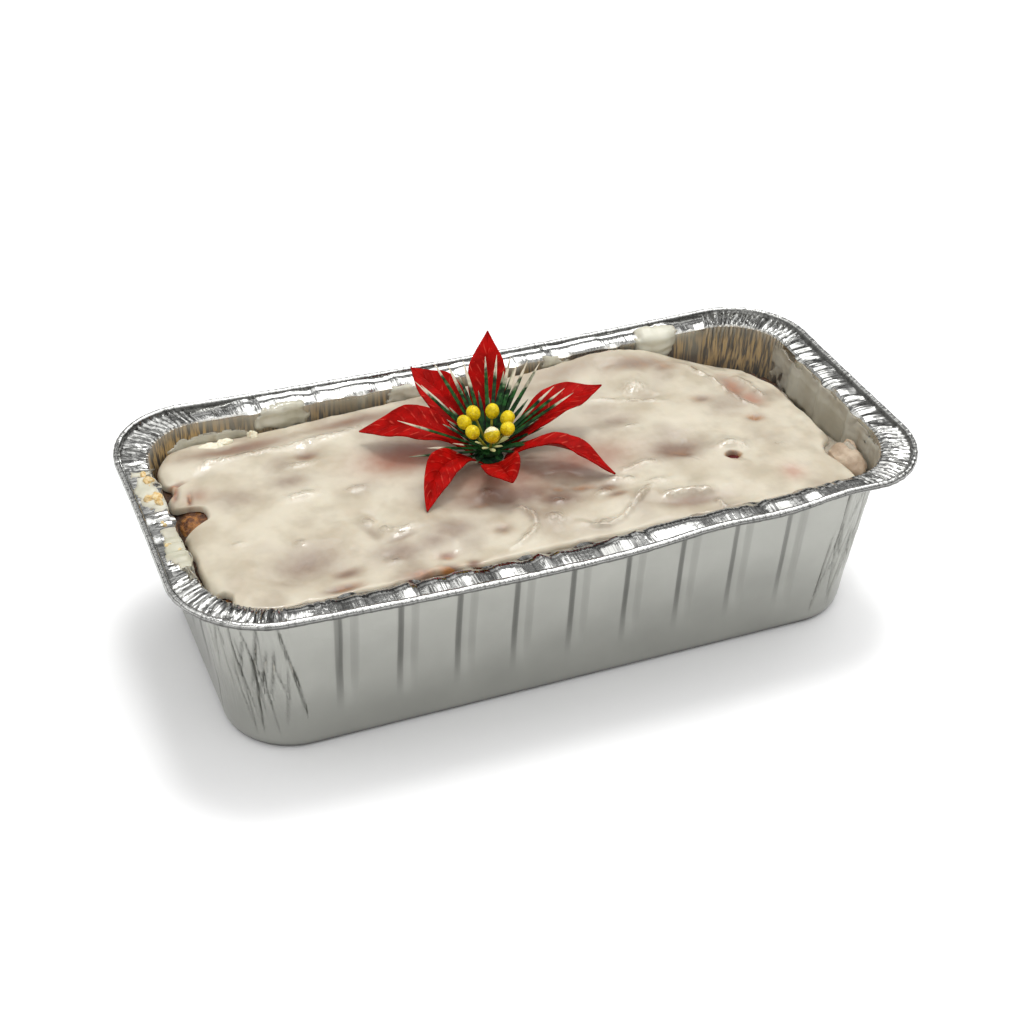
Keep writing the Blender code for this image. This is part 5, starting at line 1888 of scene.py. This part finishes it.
    def build(self, bench: Bench) -> None:
        """Build every piece of the flower."""
        self.build_calyx(bench)
        for spec in self.bracts:
            self.build_bract(bench, spec)
        self.build_needles(bench)
        self.build_blades(bench, "tuft", self.tuft, 0.4, 1.1, TUFT)
        self.build_blades(bench, "leaflets", self.leaflets, 1.6, 1.5, LEAFLET)
        self.build_berries(bench)


# --- studio ---
@dataclass(frozen=True)
class SoftSun:
    """A broad soft light from far off: where it stands in the sky, its width and its strength."""

    name: str
    azimuth: float  # degrees, 0 from the front, 90 from the right
    elevation: float
    width: float  # degrees across
    strength: float

    def hang(self) -> None:
        """Add the light to the scene."""
        lamp = bpy.data.lights.new(self.name, "SUN")
        lamp.angle = math.radians(self.width)
        lamp.energy = self.strength
        way = sky_direction(math.radians(self.azimuth), math.radians(self.elevation))
        add_object(self.name, lamp).rotation_euler = way.to_track_quat("Z", "Y").to_euler()


@dataclass(frozen=True)
class Studio:
    """Camera, floor, sky and lights."""

    azimuth: float = -23.47  # degrees, of the camera round the loaf
    elevation: float = 35.53
    distance: float = 522.25  # mm
    roll: float = 2.06
    target: tuple[float, float, float] = (1.63, 7.55, 25.0)
    focal_pixels: float = 1798.47
    image_pixels: float = 1024.0
    film_width: float = 36.0
    floor_reach: float = 6.0  # m
    sky_low: float = 0.02
    sky_top: float = 0.88
    sky_back: float = 0.08
    sky_front: float = 0.50
    sky_left: float = 0.35
    sky_rise: tuple[float, float] = (0.20, 0.85)
    sky_power: float = 2.0  # of the sky's shader, whose colours are divided by it
    panel_scale: float = 5.0  # of the bright panels that the room is broken into
    panel_low: float = 0.35  # light between the panels, as a share
    backdrop: float = 0.90  # plain light just over the horizon
    lights: tuple[SoftSun, ...] = (
        SoftSun("key_light", 125.0, 64.0, 50.0, 1.05),
        SoftSun("glint_light", 150.0, 76.0, 14.0, 0.80))

    def set_camera(self, shift: Vector) -> None:
        """Stand the camera where the photo was taken from."""
        turn, climb, roll = (math.radians(value) for value in (self.azimuth, self.elevation, self.roll))
        back = sky_direction(turn, climb)
        level = Vector((math.cos(turn), math.sin(turn), 0))
        plumb = back.cross(level)
        right = level * math.cos(roll) + plumb * math.sin(roll)
        up = plumb * math.cos(roll) - level * math.sin(roll)
        lens = bpy.data.cameras.new("camera")
        lens.sensor_width = self.film_width
        lens.lens = self.focal_pixels * self.film_width / self.image_pixels
        item = add_object("camera", lens)
        pose = Matrix((right, up, back)).transposed().to_4x4()
        pose.translation = (Vector(self.target) + back * self.distance + shift) * MM
        item.matrix_world = pose
        bpy.context.scene.camera = item

    def lay_floor(self) -> None:
        """Lay the pale floor under the tin."""
        mesh = bmesh.new()
        bmesh.ops.create_grid(mesh, x_segments=2, y_segments=2, size=self.floor_reach)
        data = bpy.data.meshes.new("floor")
        mesh.to_mesh(data)
        mesh.free()
        data.materials.append(FLOOR.material())
        item = add_object("floor", data)

    def paint_sky(self) -> None:
        """Room of pale panels, brightest overhead and dim behind the loaf, for the foil to mirror."""
        world = bpy.data.worlds.new("room")
        bpy.context.scene.world = world
        world.use_nodes = True
        sheet = ShaderSheet(world.node_tree, "Background")
        way = sheet.node("ShaderNodeTexCoord", {}, {}, "Generated")
        to_right, to_back, up = sheet.split(way)
        light = up.step(*self.sky_rise) * self.sky_top + to_back.step(-0.2, 0.7) * self.sky_back
        light = light + to_back.step(0.1, -0.8) * self.sky_front + to_right.step(0.1, -0.8) * self.sky_left
        room = sheet.node("ShaderNodeTexNoise", {}, {"Vector": way, "Scale": self.panel_scale, "Detail": 1.0})
        panels = room.step(0.46, 0.54) * (1 - self.panel_low) * 2 + self.panel_low
        light = ((light + self.sky_low) * panels * (1 / self.sky_power)).at_most(1.0)
        room_colour = sheet.tint(light, (0.0, 0.0, 0.0), (1.0, 1.0, 1.0))
        backdrop = (self.backdrop / self.sky_power,) * 3
        sheet.set(Color=sheet.tint(up.step(0.03, 0.10), backdrop, room_colour), Strength=self.sky_power)

    def set_up(self, shift: Vector) -> None:
        """Set the whole studio up."""
        self.set_camera(shift)
        self.lay_floor()
        self.paint_sky()
        for light in self.lights:
            light.hang()
        bpy.context.scene.view_settings.view_transform = "Standard"


def main() -> None:
    """Build every piece, then the studio."""
    logging.basicConfig(level=logging.INFO, format="%(message)s")
    shift = TIN.centring()
    log.info("shift to the packed frame: %.2f, %.2f mm", shift.x, shift.y)
    bench = Bench(shift)
    tin = FoilTin()
    tin.build(bench)
    Crust().build(bench)
    Icing().build(bench)
    for smear in SMEARS:
        smear.build(bench, tin)
    build_fruit_and_crumbs(bench)
    Poinsettia().build(bench)
    Studio().set_up(shift)


if __name__ == "__main__":
    main()
